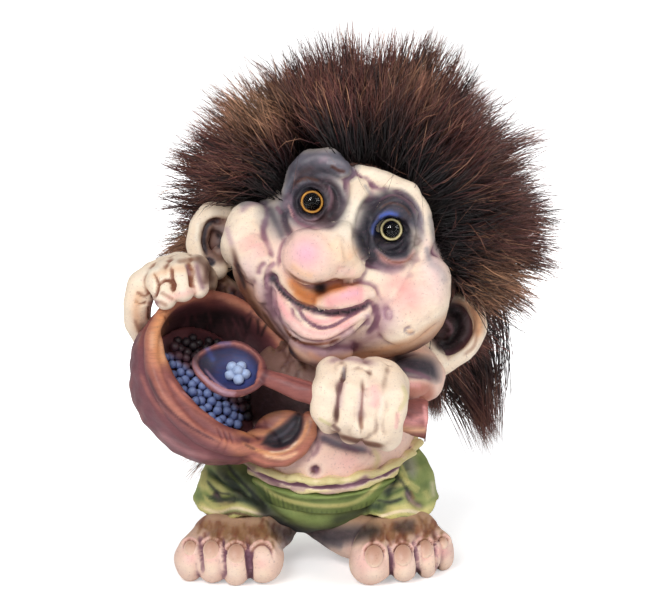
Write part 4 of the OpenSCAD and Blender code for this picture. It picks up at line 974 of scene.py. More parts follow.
def make_bowl(material):
    line = [(0, -BOWL_H), (BOWL_R * 0.3, -BOWL_H - 0.2), (BOWL_R * 0.42, -BOWL_H)]
    line += [(BOWL_R * (0.42 + 0.56 * math.sin(math.radians(a))), -BOWL_H + (BOWL_H - 6) * (1 - math.cos(math.radians(a))))
             for a in range(10, 81, 10)]
    line += [(BOWL_R * 0.985, -6.4), (BOWL_R * 0.955, -5.4), (BOWL_R * 0.96, -4.4), (BOWL_R - 0.2, -3.4), (BOWL_R, -2.0),
             (BOWL_R - 0.4, -0.6), (BOWL_R - 1.6, 0), (BOWL_R - BOWL_T + 0.8, -0.1), (BOWL_R - BOWL_T + 0.1, -0.9)]
    clay = Clay()
    clay.lathe(line + hollow(-1.6), BOWL_PLACE)
    # the carved lug: a crescent under the edge with a dished plate inside it
    clay.limb(*[(sight(x, y, depth), size) for x, y, depth, size in (
        (238, 442, -38, 2.2), (250, 451, -36.5, 2.8), (266, 457, -35, 3.1), (284, 456, -33.6, 3.1), (298, 447, -32.6, 2.9), (307, 433, -32, 2.5),
        (309, 418, -31.4, 2.0))])
    clay.ball(sight(281, 433, -30.6), (8.2, 2.6, 6.2), (0, -18, 0))
    clay.ball(sight(262, 442, -33), (5, 2.6, 4), (0, 10, 0))
    # the edge is broader along the lower side
    clay.limb(*[(BOWL_PLACE @ Vector((reach * math.cos(math.radians(a)), reach * math.sin(math.radians(a)), -2.8)), size) for a, reach, size in (
        (232, 21.6, 1.6), (250, 20.6, 2.4), (268, 19.8, 3.0), (286, 19.3, 3.3), (304, 19.2, 3.4), (322, 19.3, 3.3), (340, 19.8, 3.0), (358, 20.8, 2.2))])
    clay.skin(0.5, 2)
    back = BOWL_PLACE.inverted()
    local = clay.co @ np.array(back.to_3x3()).T + np.array(back.translation)
    radius, height = np.hypot(local[:, 0], local[:, 1]), local[:, 2]
    # the carved wall wavers a little, and a second groove runs under the lip
    turn = np.arctan2(local[:, 1], local[:, 0])
    waver = 0.25 * np.sin(turn * 3 + 1) + 0.18 * np.sin(turn * 7) + 0.12 * np.sin(turn * 13 + height * 0.4)
    wall = np.clip((-height - 6) / 3, 0, 1) * np.clip((height + 21.5) / 5, 0, 1)
    clay.co += clay.out * (waver * wall + 0.12 * np.sin(turn * 23 + np.sin(height)) * wall)[:, None]
    clay.look()
    clay.press([
        ([(218, 428), (222, 440), (216, 450)], 1.2, 0.35), ([(224, 430), (228, 442), (224, 452)], 1.2, 0.35), ([(230, 432), (233, 444)], 1.2, 0.3),
        ([(250, 450), (262, 444), (272, 440)], 2, 0.5), ([(304, 412), (310, 424), (300, 440)], 2, 0.3),
        ([(160, 312), (168, 318), (170, 328)], 1.2, 0.3), ([(186, 300), (196, 294)], 1.3, 0.3), ([(258, 412), (266, 424)], 1.4, 0.3)])
    clay.rough(11, 0.14, 20)
    clay.base("rust", "wine", "tan", load=0.95, deep=0.35, edge=0.5)
    # painted shade: the inside of the bowl is darker, and darker still further down
    inner = np.clip((BOWL_R - BOWL_T + 0.5 - radius) / 1.2, 0, 1) * np.clip((-height - 1.4) / 2.2, 0, 1)
    within = inner * (np.abs((clay.out @ np.array(BOWL_PLACE.to_3x3())[:, 2])) > -2)
    inside_face = (((clay.out @ np.array(BOWL_PLACE.to_3x3())) * np.stack([-local[:, 0], -local[:, 1], radius], 1)).sum(1) > 0)
    clay.tint(within * inside_face, "wine", 0.92)
    clay.tint(within * inside_face * np.clip((-height - 3) / 6, 0, 1), "black", 0.45)
    lip = np.clip(1 - np.abs(radius - BOWL_R + 1.4) / 2.6, 0, 1) * np.clip((height + 3.4) / 1.2, 0, 1)
    clay.tint(lip, "clay", 0.7)
    # painted shade in the groove under the lip and over the belly of the outer wall
    under = np.exp(-(((height + 5.2) / 1.3) ** 2)) * (radius > BOWL_R * 0.9) * (1 - inside_face)
    clay.tint(under, "brick", 0.75)
    belly = np.exp(-(((height + 12) / 5.5) ** 2)) * (1 - inside_face)
    clay.tint(belly, "dusk", 0.85)
    grain = np.clip(np.sin(turn * 29 + 1.5 * np.sin(turn * 5) + 0.25 * height), 0, 1) ** 2 * wall * (1 - inside_face)
    clay.tint(grain, "wine", 0.4)
    clay.tint(np.clip(-np.sin(turn * 17 + 0.2 * height), 0, 1) ** 3 * wall * (1 - inside_face), "clay", 0.35)
    foot = np.clip((-height - 18) / 3, 0, 1)
    clay.tint(foot, "clay", 0.4)
    # painted highlights on the left of the rim and on the lug, painted shade inside the bowl under the jaw
    clay.brush(
        ([(168, 308), (158, 326), (158, 350), (166, 368)], 7, "tan", 0.85), ([(160, 340), (166, 362)], 3, "apricot", 0.5),
        ([(176, 300), (196, 296), (214, 300)], 6, "clay", 0.8), ([(204, 302), (222, 306)], 5, "brick", 0.5),
        ([(166, 372), (178, 390), (196, 404), (216, 416)], 3, "clay", 0.8), ([(176, 380), (200, 398), (226, 414)], 3, "terracotta", 0.7),
        ([(236, 430), (256, 434), (272, 430), (288, 414)], 3.5, "tan", 0.7), ([(236, 424), (256, 420), (276, 408), (288, 400)], 5, "umber", 0.5),
        ([(262, 412), (282, 410)], 5, "fibre", 0.6), ([(246, 444), (264, 452), (284, 456), (302, 450), (316, 436)], 4, "clay", 0.85),
        ([(262, 454), (282, 458), (300, 452)], 2.6, "apricot", 0.8), ([(304, 430), (312, 418)], 3, "cream", 0.4),
        ([(240, 438), (250, 442)], 3, "wine", 0.8), ([(146, 366), (156, 392), (178, 418), (210, 438)], 5, "brick", 0.4),
        ([(150, 400), (168, 424), (196, 446), (226, 456)], 5, "terracotta", 0.6), ([(170, 438), (196, 454), (226, 460)], 3, "clay", 0.4),
        ([(188, 296), (196, 294), (200, 298)], 2, "cocoa", 0.6), ([(164, 316), (169, 326)], 1.2, "umber", 0.7),
        ([(182, 300), (190, 296)], 1.4, "umber", 0.5), ([(190, 324), (224, 316), (246, 326)], 7, "black", 0.7),
        ([(176, 352), (186, 360), (190, 372)], 7, "plum", 0.5))
    # painted shade over the lower outer wall, then painted highlights along its bottom and the rim
    clay.fill(([(130, 346), (142, 352), (150, 380), (166, 408), (194, 432), (232, 452), (228, 466), (186, 458), (156, 438), (138, 408), (128, 374)], 5, "dusk", 0.8))
    clay.brush(([(158, 432), (184, 450), (214, 459)], 3.5, "lip", 0.4), ([(140, 372), (150, 396), (166, 416)], 2.5, "clay", 0.4),
               ([(152, 366), (166, 392), (190, 414), (222, 434)], 3, "brick", 0.6), ([(146, 372), (160, 400), (186, 424), (222, 444)], 1.6, "wine", 0.8),
               ([(164, 366), (176, 386), (194, 404), (216, 420), (240, 430)], 5, "brick", 0.9), ([(168, 378), (184, 398), (206, 414), (228, 425)], 2.6, "clay", 0.75),
               ([(180, 390), (196, 402), (212, 412)], 1.4, "lip", 0.5), ([(152, 330), (152, 350)], 3, "cream", 0.25))
    # painted shade in the dish of the lug, painted highlights along its ridge
    clay.fill(([(262, 444), (268, 434), (284, 424), (298, 412), (303, 418), (301, 432), (292, 444), (276, 449)], 2.5, "night", 0.95))
    clay.brush(
        ([(240, 441), (252, 448), (268, 453), (284, 452), (298, 443), (306, 430), (308, 418)], 2.4, "tan", 0.85),
        ([(268, 452), (286, 450), (299, 440)], 1.6, "cream", 0.6), ([(262, 447), (276, 450), (292, 446)], 1.6, "brick", 0.7),
        ([(248, 455), (266, 463), (286, 463), (302, 452)], 2.2, "clay", 0.8), ([(244, 444), (256, 450)], 1.6, "wine", 0.6),
        ([(272, 440), (286, 432), (296, 420)], 2, "slate", 0.6))
    # dark streaks over the inner wall under the jaw, as painted shade
    clay.hair([(180, 322), (220, 314), (262, 330)], 12, 21, 26, 22, deep=0.06, dark="black", light="wine")
    clay.piece("carved_bowl", material, "bowl", slot="bowl_paint")


def make_bowl_berries(bed_finish, berry_finish):
    """A moulded bed in the bowl covered with berries; painted shade darkens the bed and all the berries but those along
    its lower side.
    """
    clay = Clay()
    level = -BOWL_H * 0.5
    clay.lathe([(0, level)] + hollow(level, 0.15), BOWL_PLACE)
    clay.skin(0.6, 2)
    clay.rough(9, 0.35, 22)
    # painted shade: the bed deep in the bowl is painted dark, and near black beside the spoon
    clay.base("wine", "black", "brick", load=0.9, deep=0.3)
    clay.brush(([(182, 380), (204, 396), (226, 408)], 12, "navy", 0.9), (ring(258, 404, 8, 6), 1.6, "slate", 0.8),
               ([(256, 404)], 4, "pine", 0.7), ([(236, 412), (250, 414)], 4, "black", 0.8))
    bed = clay.piece("berry_bed", bed_finish, slot="bowl_berries")
    heap = Clay()
    for i in range(118):
        r, a = 0.62 * 2.2 * math.sqrt(i + 0.3), math.radians(137.5 * i)
        at = BOWL_PLACE @ Vector((r * math.cos(a), r * math.sin(a), level + 1.0 + 0.5 * math.sin(math.radians(97 * i))))
        heap.ball(at, 1.28 * (1 + 0.06 * math.sin(i * 5)), detail=2)
    berries(heap, "bowl_berry_heap", berry_finish, "bowl_berries", 23, ("azure", "navy"), "bowl_berries", shade=True)
    return bed


def berries(heap, name, finish, slot, seed, tones, *replaced, shade=False):
    """Little fruits: each ball keeps its own shape, with pale bloom and a painted highlight on the side that faces the
    lamps, and painted shade on the underside.
    """
    mesh = bpy.data.meshes.new(name)
    heap.bm.to_mesh(mesh)
    heap.bm.free()
    heap.mesh = mesh
    heap.read()
    heap.rough(2.2, 0.05, seed)
    heap.base(tones[0], tones[1], "ash", load=0.3, deep=0.4)
    # pale bloom with a painted highlight on the side that faces the lamps
    heap.tint(np.clip(heap.out @ np.array([-0.25, -0.7, 0.66]), 0, 1) ** 1.6, "bloom_and_highlight", 0.55)
    if shade:
        # berries away from the bowl's lower edge lie in painted shade
        depth = heap.seen @ np.array([0.62, -0.78])
        heap.tint(np.clip((depth + 174) / 6, 0, 1), "wine", 0.9)
        heap.tint(np.clip((depth + 168) / 14, 0, 1), "black", 0.8)
        heap.tint(np.clip((heap.seen[:, 0] - 240) / 8, 0, 1), "black", 0.85)
    # painted shade on the underside of each berry
    heap.tint(np.clip(-(heap.out @ np.array([0, -0.7, 0.7])), 0, 1), tones[1], 0.8)
    return heap.piece(name, finish, *replaced, slot=slot)


def make_spoon(material):
    clay = Clay()
    turn = tuple(math.degrees(a) for a in SPOON_PLACE.to_euler())
    cup = clay.ball(SPOON_AT, (10, 8.6, 6.2), turn, detail=5)
    back = SPOON_PLACE.inverted()
    for v in cup:
        at = back @ v.co
        if at.x < 0:
            at.y *= 1 + 0.035 * at.x * (0.5 if at.y < 0 else 1.0)
        if at.z > 0:
            at.z *= 0.12
        v.co = SPOON_PLACE @ at
    start, end = SPOON_AT + Vector((8.6, 0.2, -2.6)), Vector((17.5, -33.5, 45.5))
    stations = []
    for i in range(11):
        t = i / 10
        at = start + (end - start) * t + Vector((0, -6.5 * math.sin(math.pi * t), 0))
        stations.append((at, 3 * (1 - 0.3 * max(0, 1 - 4 * t) + 0.75 * t**6)))
    clay.limb(*stations)
    clay.limb((end + Vector((-6, 0, 0)), 3.0), (end + Vector((1.5, 0, -1)), 4.6), (end + Vector((4, 0, -1.6)), 5.0))
    clay.skin(0.4, 2)
    clay.co[:, 0] = np.minimum(clay.co[:, 0], 19.6 + 0.08 * (clay.co[:, 2] - 44))
    clay.look()
    local = clay.co @ np.array(back.to_3x3()).T + np.array(back.translation)
    wide = local[:, 1] / 7.1
    wide = np.where(local[:, 0] < 0, local[:, 1] / (7.1 * (1 + 0.035 * local[:, 0])), wide)
    dish = np.clip(1 - (local[:, 0] / 8.5) ** 2 - wide**2, 0, 1)
    up = np.array(SPOON_PLACE.to_3x3())[:, 2]
    top = (clay.out @ up > 0.55) & (local[:, 2] > -0.5) & (local[:, 2] < 1.1) & (local[:, 0] < 7.4)
    clay.co -= (np.sqrt(dish) * 4.4 * top)[:, None] * up
    clay.look()
    clay.press([([(268, 364), (290, 370), (312, 378)], 1.6, 0.35), ([(272, 372), (296, 380), (314, 386)], 1.4, 0.3),
                ([(404, 412), (414, 420), (426, 422)], 2, 0.4)])
    clay.rough(6, 0.08, 24)
    clay.base("brick", "wine", "clay", load=0.8, deep=0.35, edge=0.5)
    clay.tint(np.clip(dish * 6, 0, 1) * top, "navy", 0.95)
    clay.tint(np.clip(dish * 3, 0, 1) * top * np.clip(1.1 - np.hypot(local[:, 0] - 2.5, local[:, 1]) / 6, 0, 1), "azure", 0.75)
    # painted shade at the back of the cup
    clay.tint(np.clip(dish * 3, 0, 1) * top * np.clip(-(local[:, 0] + 3) / 4, 0, 1), "night", 0.6)
    rim = np.exp(-(((np.hypot(local[:, 0] / 9.6, wide * 0.86) - 1) / 0.09) ** 2)) * (local[:, 2] > -1.4)
    clay.tint(rim, "wine", 0.85)
    # a painted highlight on the lower left of the rim
    clay.tint(rim * (local[:, 0] < 3) * np.clip(0.1 - wide, 0, 1) * 1.4, "mauve", 0.8)
    # painted shade at the back of the cup and under the neck, painted highlights on the rim's lower left and along the
    # top of the neck
    clay.brush(
        ([(200, 344), (196, 354), (200, 366)], 4, "night", 0.5), ([(204, 368), (216, 382), (228, 390)], 1.6, "lilac", 0.5), ([(206, 346), (214, 362)], 3, "azure", 0.45), ([(216, 342), (232, 344)], 3, "azure", 0.4), ([(222, 384), (240, 382)], 3, "navy", 0.6),
        ([(232, 394), (248, 396), (262, 386)], 4, "brick", 0.7), ([(262, 358), (284, 366), (306, 374)], 4, "clay", 0.5),
        ([(266, 378), (290, 384), (314, 390)], 4, "brick", 0.6), ([(262, 352), (284, 362), (314, 370)], 2, "umber", 0.7),
        ([(398, 420), (412, 422), (428, 414)], 6, "lip", 0.7), ([(396, 428), (414, 430), (428, 430)], 3.5, "apricot", 0.8), ([(424, 404), (427, 430)], 2.5, "lip", 0.7),
        ([(410, 412), (424, 412)], 3, "brick", 0.6), ([(240, 397), (250, 397)], 1.4, "apricot", 0.6))
    clay.piece("carved_spoon", material, "spoon", slot="spoon_paint")


def make_spoon_berries(finish):
    heap = Clay()
    for i in range(6):
        a = math.radians(72 * i)
        reach = 2.15 if i < 5 else 0
        heap.ball(SPOON_PLACE @ Vector((2.3 + reach * math.cos(a), reach * math.sin(a), -2.0 + (0 if i < 5 else 0.9))), (1.45, 1.45, 1.45), detail=3)
    berries(heap, "spoon_berry_heap", finish, "spoon_berries", 25, ("bloom_and_highlight", "azure"), "spoon_berries")


# Clothes

def band_low(turn):
    return math.radians(-40.5 + 17 * (1 - math.cos(turn)) / 2)


def band_high(turn):
    return band_low(turn) + math.radians(15)


def make_frill(material):
    """The shirt's hem: two wavy edges, one over the other."""
    def at(row, turn):
        wave = math.sin(turn * 18 + 0.6 * math.sin(turn * 5))
        low, high = band_high(turn) + math.radians(1.2), band_high(turn) + math.radians(9.5 + 1.2 * wave)
        lat, out = [(low, -1.2), (low, 1.6 + 0.3 * wave), (low + 0.03, 1.9 + 0.3 * wave), (low + 0.06, 0.9), (high - 0.07, 0.7),
                    (high - 0.03, 2.2 + 0.7 * wave), (high, 2.6 + 0.75 * wave), (high + 0.03, 1.6 + 0.75 * wave), (high, -1.2)][row]
        return body_point(lat, turn, out)

    clay = Clay()
    clay.loft(9, at, 260, closed=True)
    clay.skin(0.42, 1)
    clay.rough(5, 0.10, 30)
    clay.base("cream", "plum", "straw", load=1.0, deep=0.16, edge=0.6)
    # a pale line along the upper edge, and painted shade between the waves
    clay.brush(
        ([(244, 468), (266, 484), (292, 496), (322, 500), (352, 495), (376, 478)], 2.0, "straw", 0.5),
        ([(252, 472), (272, 484), (296, 492)], 3.5, "mauve", 0.6), ([(330, 492), (352, 487), (370, 474)], 3.5, "mauve", 0.5),
        ([(268, 478), (280, 486)], 3, "plum", 0.6), ([(290, 488), (306, 490)], 2.6, "mauve", 0.6), ([(318, 494), (336, 494)], 2.6, "mauve", 0.55),
        ([(352, 486), (368, 476)], 2.8, "plum", 0.5), ([(378, 470), (386, 454)], 3.2, "plum", 0.6), ([(240, 462), (256, 470)], 3.2, "plum", 0.6))
    clay.piece("wavy_frill", material, "shirt_frill", slot="frill_paint")


def make_waistband(material):
    def at(row, turn):
        low, high = band_low(turn), band_high(turn)
        share, out = [(0, -1.0), (0, 1.5), (0.08, 2.0), (0.5, 2.15), (0.86, 1.9), (0.93, 2.35), (1.0, 2.2), (1.0, -1.0)][row]
        return body_point(low + (high - low) * share, turn, out - 0.15)

    clay = Clay()
    clay.loft(8, at, 200, closed=True)
    clay.skin(0.45, 1)
    clay.press([([(262, 490), (270, 500)], 2, 0.4), ([(372, 486), (366, 498)], 2, 0.35), ([(352, 506), (350, 520)], 2.4, 0.2),
                ([(300, 508), (302, 520)], 3, 0.2)])
    clay.rough(9, 0.16, 31)
    clay.base("moss", "pine", "leaf", load=0.9, deep=0.3)
    # a pale upper edge, and painted shade along the lower edge
    clay.brush(
        ([(250, 476), (276, 496), (304, 504), (330, 506), (356, 502), (378, 484), (392, 458)], 2.6, "straw", 0.85),
        ([(262, 492), (284, 508), (312, 516)], 7, "leaf", 0.5), ([(296, 512), (320, 516)], 6, "moss", 0.5), ([(350, 512), (374, 496)], 6, "leaf", 0.5),
        ([(256, 484), (272, 506), (292, 524)], 3, "pine", 0.7), ([(300, 527), (330, 530), (352, 526), (372, 508)], 2.4, "pine", 0.85),
        ([(384, 478), (392, 462)], 3, "pine", 0.4))
    # woven ribs
    for x in range(262, 392, 5):
        fall = ((x - 328) / 70) ** 2 * 28
        clay.brush(([(x, 510 - fall), (x + (328 - x) * 0.08, 527 - fall)], 1.1, "pine", 0.3 + 0.15 * math.sin(x * 1.7)))
    clay.piece("green_waistband", material, "waistband", slot="green_cloth_paint")


HEM_Z = 15.0


def make_trousers(material):
    def leg(middle, wide, deep, seed):
        rows = [(0.5, 0.5, 3.2, 0), (0.86, 0.86, 2.8, 0.5), (0.93, 0.95, 0.2, 1), (1.03, 1.05, -0.4, 1), (1.05, 1.07, 0.8, 1), (0.99, 0.99, 2.8, 0.8),
                (0.95, 0.94, 6, 0.6), (0.91, 0.86, 9.5, 0.25), (0.82, 0.72, 13, 0), (0.6, 0.5, 16.5, 0)]

        def at(row, turn):
            x, y, z, waves = rows[row]
            wave = math.sin(turn * 4 + seed) + 0.5 * math.sin(turn * 7 + seed * 2)
            flare = 1 + 0.07 * waves * wave
            return (middle[0] + wide * x * flare * math.sin(turn) + z * 0.06, middle[1] - deep * y * flare * math.cos(turn),
                    HEM_Z + z * 0.94 + 1.45 * waves * wave)
        return at

    clay = Clay()
    clay.loft(10, leg((-30, -7), 13.0, 17.4, 1.0), 150)
    clay.loft(10, leg((10.5, -7), 12.2, 17.4, 2.4), 150)
    clay.ball((-10, -4, 16.5), (25, 21, 9))
    clay.skin(0.5, 1)
    clay.press([
        # viewer's left leg
        ([(208, 470), (224, 484), (240, 488), (252, 500)], 3.2, 1.3), ([(212, 492), (220, 500), (236, 498)], 4, 1.4),
        ([(230, 470), (244, 486), (262, 504)], 3, 0.9), ([(204, 498), (216, 508), (228, 506)], 3, -0.6), ([(204, 470), (202, 488)], 3, -0.5),
        ([(244, 510), (262, 518), (282, 522)], 3, 0.8), ([(262, 498), (276, 514), (292, 524)], 3, 0.7),
        # viewer's right leg
        ([(392, 458), (394, 478), (386, 496)], 4, 1.1), ([(374, 504), (380, 510), (392, 508)], 4, 1.3), ([(366, 508), (362, 520)], 3, 0.8),
        ([(408, 488), (412, 500), (422, 508)], 3.4, 1.2), ([(398, 478), (410, 484), (420, 490)], 3, -0.7), ([(384, 498), (400, 490), (412, 486)], 2.4, 0.7),
        ([(402, 456), (408, 470)], 3, 0.6), ([(396, 510), (410, 514)], 3, -0.6), ([(348, 524), (366, 520)], 3, 0.6)])
    clay.rough(8, 0.2, 32)
    clay.base("moss", "pine", "straw", load=1.0, deep=0.42, edge=0.6)
    hem = np.clip(1 - (clay.co[:, 2] - HEM_Z + 1.2) / 3.2, 0, 1) * (np.hypot(clay.co[:, 0] + 10, clay.co[:, 1] + 6) > 17)
    clay.tint(hem, "straw", 0.7)
    # painted shade in the folds and between the legs, and a painted highlight on the outer side of the leg on the right
    clay.fill(
        ([(214, 462), (250, 470), (262, 492), (280, 514), (296, 530), (262, 524), (244, 506), (226, 484)], 6, "pine", 0.7),
        ([(380, 458), (396, 452), (402, 470), (398, 488), (386, 498), (372, 500)], 6, "pine", 0.6),
        ([(330, 524), (364, 516), (372, 526), (350, 536)], 4, "pine", 0.7),
        ([(366, 500), (386, 496), (392, 508), (376, 514)], 4, "pine", 0.65),
        ([(404, 444), (416, 462), (414, 478), (404, 470), (398, 456)], 4, "ash", 0.6),
        ([(256, 494), (284, 508), (320, 514), (356, 508), (380, 492), (386, 506), (362, 524), (322, 530), (284, 524), (262, 508)], 3.5, "moss", 0.95))
    # painted highlights along the ridges of the folds, and painted shade in them
    clay.brush(
        ([(203, 464), (201, 480), (204, 492)], 3.6, "straw", 0.7), ([(200, 500), (212, 514), (222, 516)], 3, "straw", 0.6),
        ([(214, 492), (222, 502), (236, 500)], 3.4, "plum", 0.7), ([(224, 476), (238, 484)], 4, "pine", 0.8), ([(232, 508), (250, 516), (276, 524)], 3, "pine", 0.6),
        ([(238, 512), (256, 520), (280, 524)], 1.6, "leaf", 0.7), ([(372, 494), (390, 486), (406, 484)], 2.4, "straw", 0.6),
        ([(406, 490), (412, 502), (422, 508)], 3.2, "mauve", 0.75), ([(410, 490), (414, 500)], 2.4, "umber", 0.4),
        ([(384, 506), (398, 508), (412, 504)], 4, "straw", 0.75), ([(360, 524), (382, 524), (398, 514), (414, 516), (428, 520)], 3, "straw", 0.8),
        ([(424, 490), (430, 500)], 4, "straw", 0.6), ([(400, 462), (404, 480)], 4, "leaf", 0.6), ([(374, 506), (384, 510)], 3.2, "pine", 0.8))
    # pale cuffs with painted shade under them, and painted shade in the folds and at the crotch
    clay.brush(
        ([(196, 502), (206, 508), (217, 510), (234, 506), (254, 511), (276, 516)], 4.2, "straw", 0.95), ([(198, 506), (217, 512), (236, 508), (256, 513), (272, 517)], 1.8, "cream", 0.7), ([(196, 512), (217, 517), (236, 513), (256, 519), (282, 524)], 1.6, "cocoa", 0.8),
        ([(204, 496), (222, 500), (244, 500), (262, 506)], 2.4, "pine", 0.7), ([(214, 470), (230, 482), (244, 500)], 5, "night", 0.4), ([(240, 488), (262, 506), (288, 526)], 6, "night", 0.55),
        ([(330, 522), (356, 514), (376, 502)], 5, "night", 0.5), ([(388, 462), (394, 480), (384, 496)], 4.5, "night", 0.45), ([(206, 468), (206, 486), (214, 496)], 2.4, "straw", 0.6),
        ([(226, 470), (240, 484), (252, 498)], 1.8, "leaf", 0.5), ([(400, 470), (408, 484), (420, 494)], 2.2, "straw", 0.6),
        ([(362, 517), (378, 517), (396, 510), (408, 508), (422, 512), (432, 504)], 4.6, "straw", 0.95), ([(372, 519), (396, 512), (410, 511), (424, 514)], 2, "cream", 0.8), ([(366, 508), (386, 504), (404, 498)], 2.4, "pine", 0.6), ([(350, 526), (378, 527), (396, 520), (408, 518), (424, 523)], 1.6, "night", 0.8),
        ([(270, 524), (290, 530), (316, 535), (344, 534), (372, 530)], 7, "night", 0.9), ([(258, 506), (276, 524), (292, 530)], 5, "night", 0.55), ([(432, 480), (434, 498)], 3, "cream", 0.5),
        ([(206, 480), (218, 492), (232, 494)], 1.6, "night", 0.6), ([(226, 462), (238, 478), (256, 496), (270, 510)], 1.8, "night", 0.6),
        ([(202, 494), (214, 504), (230, 502)], 1.8, "straw", 0.6), ([(390, 470), (402, 482), (412, 498)], 1.8, "night", 0.5),
        ([(376, 500), (390, 502), (404, 498)], 1.6, "night", 0.55), ([(396, 456), (404, 470), (410, 486)], 1.6, "straw", 0.55))
    clay.piece("short_trousers", material, "trousers", slot="green_cloth_paint")


# Feet

def make_feet(skin, nails):
    """Each foot: the toes as picture point, depth, half width, half length and half height; then its nails."""
    for side, heel, ankle, toes, nail_rows, gaps in (
            ("right", ((-28, -4, 8), 8.4), ((-31, -14, 8.6), 8.4),
             [(189, 554, -33.5, 4.2, 8, 5.6), (212, 556, -35.5, 4.4, 8.5, 5.8), (236, 560, -37, 4.6, 9, 6.1), (263, 563, -36, 5.4, 9.5, 6.2)],
             [(190, 548, 1.9), (211, 550, 2.5), (236, 554, 2.6), (262, 556, 3.0)],
             [([(200, 536), (201, 556), (202, 574)], 1.5, 1.5), ([(223, 538), (224, 558), (225, 578)], 1.6, 1.6), ([(248, 540), (249, 562), (251, 582)], 1.6, 1.6)]),
            ("left", ((2, -5, 8), 8), ((11, -14, 8.6), 8.4),
             [(371, 562, -36.5, 5.9, 10, 6.1), (404, 561, -34.5, 4.6, 9, 6.0), (427, 555, -30, 4.0, 8.5, 5.7), (442, 547, -23.5, 3.5, 7, 5.0)],
             [(374, 556, 2.8), (403, 555, 2.7), (425, 549, 2.3), (443, 543, 1.5)],
             [([(388, 544), (392, 560), (391, 580)], 1.6, 1.5), ([(414, 540), (418, 558), (418, 580)], 1.5, 1.5), ([(434, 536), (437, 552), (437, 572)], 1.4, 1.3)])):
        foot = Clay()
        foot.limb(heel, ankle)
        if side == "left":
            foot.limb(((-12.5, -12, 11), 3.4), ((-8.5, -13.2, 10.5), 4.8), ((0, -17, 9), 7), ((8, -24, 8), 7.4))
        else:
            foot.limb(((-16.5, -12, 11), 3.2), ((-21, -14, 9.5), 5.6), ((-26, -20, 8.6), 7.4))
            foot.limb(((-25, -10, 9.5), 6.6), ((-26, -20, 8.6), 7.4))
        for x, y, depth, wide, long, high in toes:
            tip = sight(x, y, depth)
            root = Vector(ankle[0]).lerp(Vector(tip), 0.45)
            foot.limb(((root.x, root.y, 8.6), 7.4), ((tip[0] * 0.72 + root.x * 0.28, tip[1] * 0.72 + root.y * 0.28, 7.0), (wide + high) / 2 + 0.7))
            foot.ball((tip[0], tip[1] + 3, high - 0.3), (wide, long - 2, high))
        foot.skin(0.5, 3)
        foot.press([(line, width, deep) for line, width, deep in gaps])
        foot.press([(ring(x, y, size * 3.5, size * 3.9, 170, 370), 1.3, 0.6) for x, y, size in nail_rows])
        foot.press([(ring(x, y, size * 4.4, size * 4.9, 190, 350, 8), 1.7, -0.5) for x, y, size in nail_rows])
        foot.rough(8, 0.12, 40)
        foot.settle()
        seats = [(foot.seat(x, y), size) for x, y, size in nail_rows]
        foot.co[:, 2] = np.maximum(foot.co[:, 2], 0)
        foot.look()
        foot.base("sole", "plum", "cream", load=0.9, deep=0.33)
        high = np.clip((foot.co[:, 2] - 9.5) / 5, 0, 1)
        foot.tint(high * (foot.co[:, 1] < -14), "ochre", 0.6)
        # painted shade between the toes
        foot.brush(*[(line, width * 0.8, "plum", 0.75) for line, width, deep in gaps])
        foot.brush(*[(ring(x, y, size * 3.5, size * 3.9, 190, 350, 8), 1.2, "umber", 0.75) for x, y, size in nail_rows])
        foot.brush(*[(ring(x, y - 1, size * 4.3, size * 4.8, 190, 350, 8), 1.5, "rose", 0.6) for x, y, size in nail_rows])
        foot.brush(*[([(x, y + 18)], 8, "cream", 0.6) for x, y, size in nail_rows])
        foot.brush(*[([(x, y + 8)], 5, "blush", 0.35) for x, y, size in nail_rows])
        if side == "right":
            foot.hair([(196, 522), (226, 529), (258, 530), (288, 532)], 9, 41, 110, 9, deep=0.16, dark="umber", light="ochre")
            foot.brush(([(200, 524), (240, 530), (290, 534)], 6, "ochre", 0.45), ([(212, 552)], 7, "blush", 0.5), ([(190, 560)], 6, "rose", 0.5), ([(280, 550), (290, 536)], 5, "ash", 0.5))
            # painted shadow under the trousers
            foot.fill(([(270, 522), (300, 530), (296, 544), (276, 536)], 5, "night", 0.6))
        else:
            foot.hair([(372, 529), (394, 530), (416, 526), (438, 525)], 9, 42, 100, 9, deep=0.16, dark="umber", light="ochre")
            foot.brush(([(372, 530), (404, 528), (436, 524)], 6, "ochre", 0.45), ([(364, 562)], 12, "rose", 0.5), ([(442, 552)], 7, "blush", 0.5), ([(320, 540), (344, 546)], 6, "slate", 0.6))
            # a painted highlight on the inner side of the foot, with painted shade above it
            foot.brush(([(318, 548), (334, 560), (352, 574)], 9, "cream", 0.7), ([(312, 540), (330, 552)], 4, "slate", 0.5))
            # painted shadow under the trousers
            foot.fill(([(302, 528), (372, 526), (376, 536), (340, 544), (310, 540)], 5, "night", 0.75),
                      ([(396, 522), (414, 520), (412, 532), (394, 530)], 3, "night", 0.5))
        foot.piece(side + "_foot_skin", skin, side + "_foot", slot="painted_skin")
        nail = Clay()
        for at, size in seats:
            nail.ball(Vector(at) + Vector((0, 0.35, -0.2)), (size * 0.88, 1.2, size * 1.12), (-32, 0, 0))
        nail.skin(0.25, 1)
        nail.base("nail", "umber", "cream", load=0.4, deep=0.2, edge=0.6)
        nail.tint(np.clip((nail.out @ np.array([0, -0.4, 0.9])), 0, 1) ** 2, "umber", 0.5)
        nail.piece(side + "_nails", nails, side + "_toenails", slot="painted_nail")


# Eyes

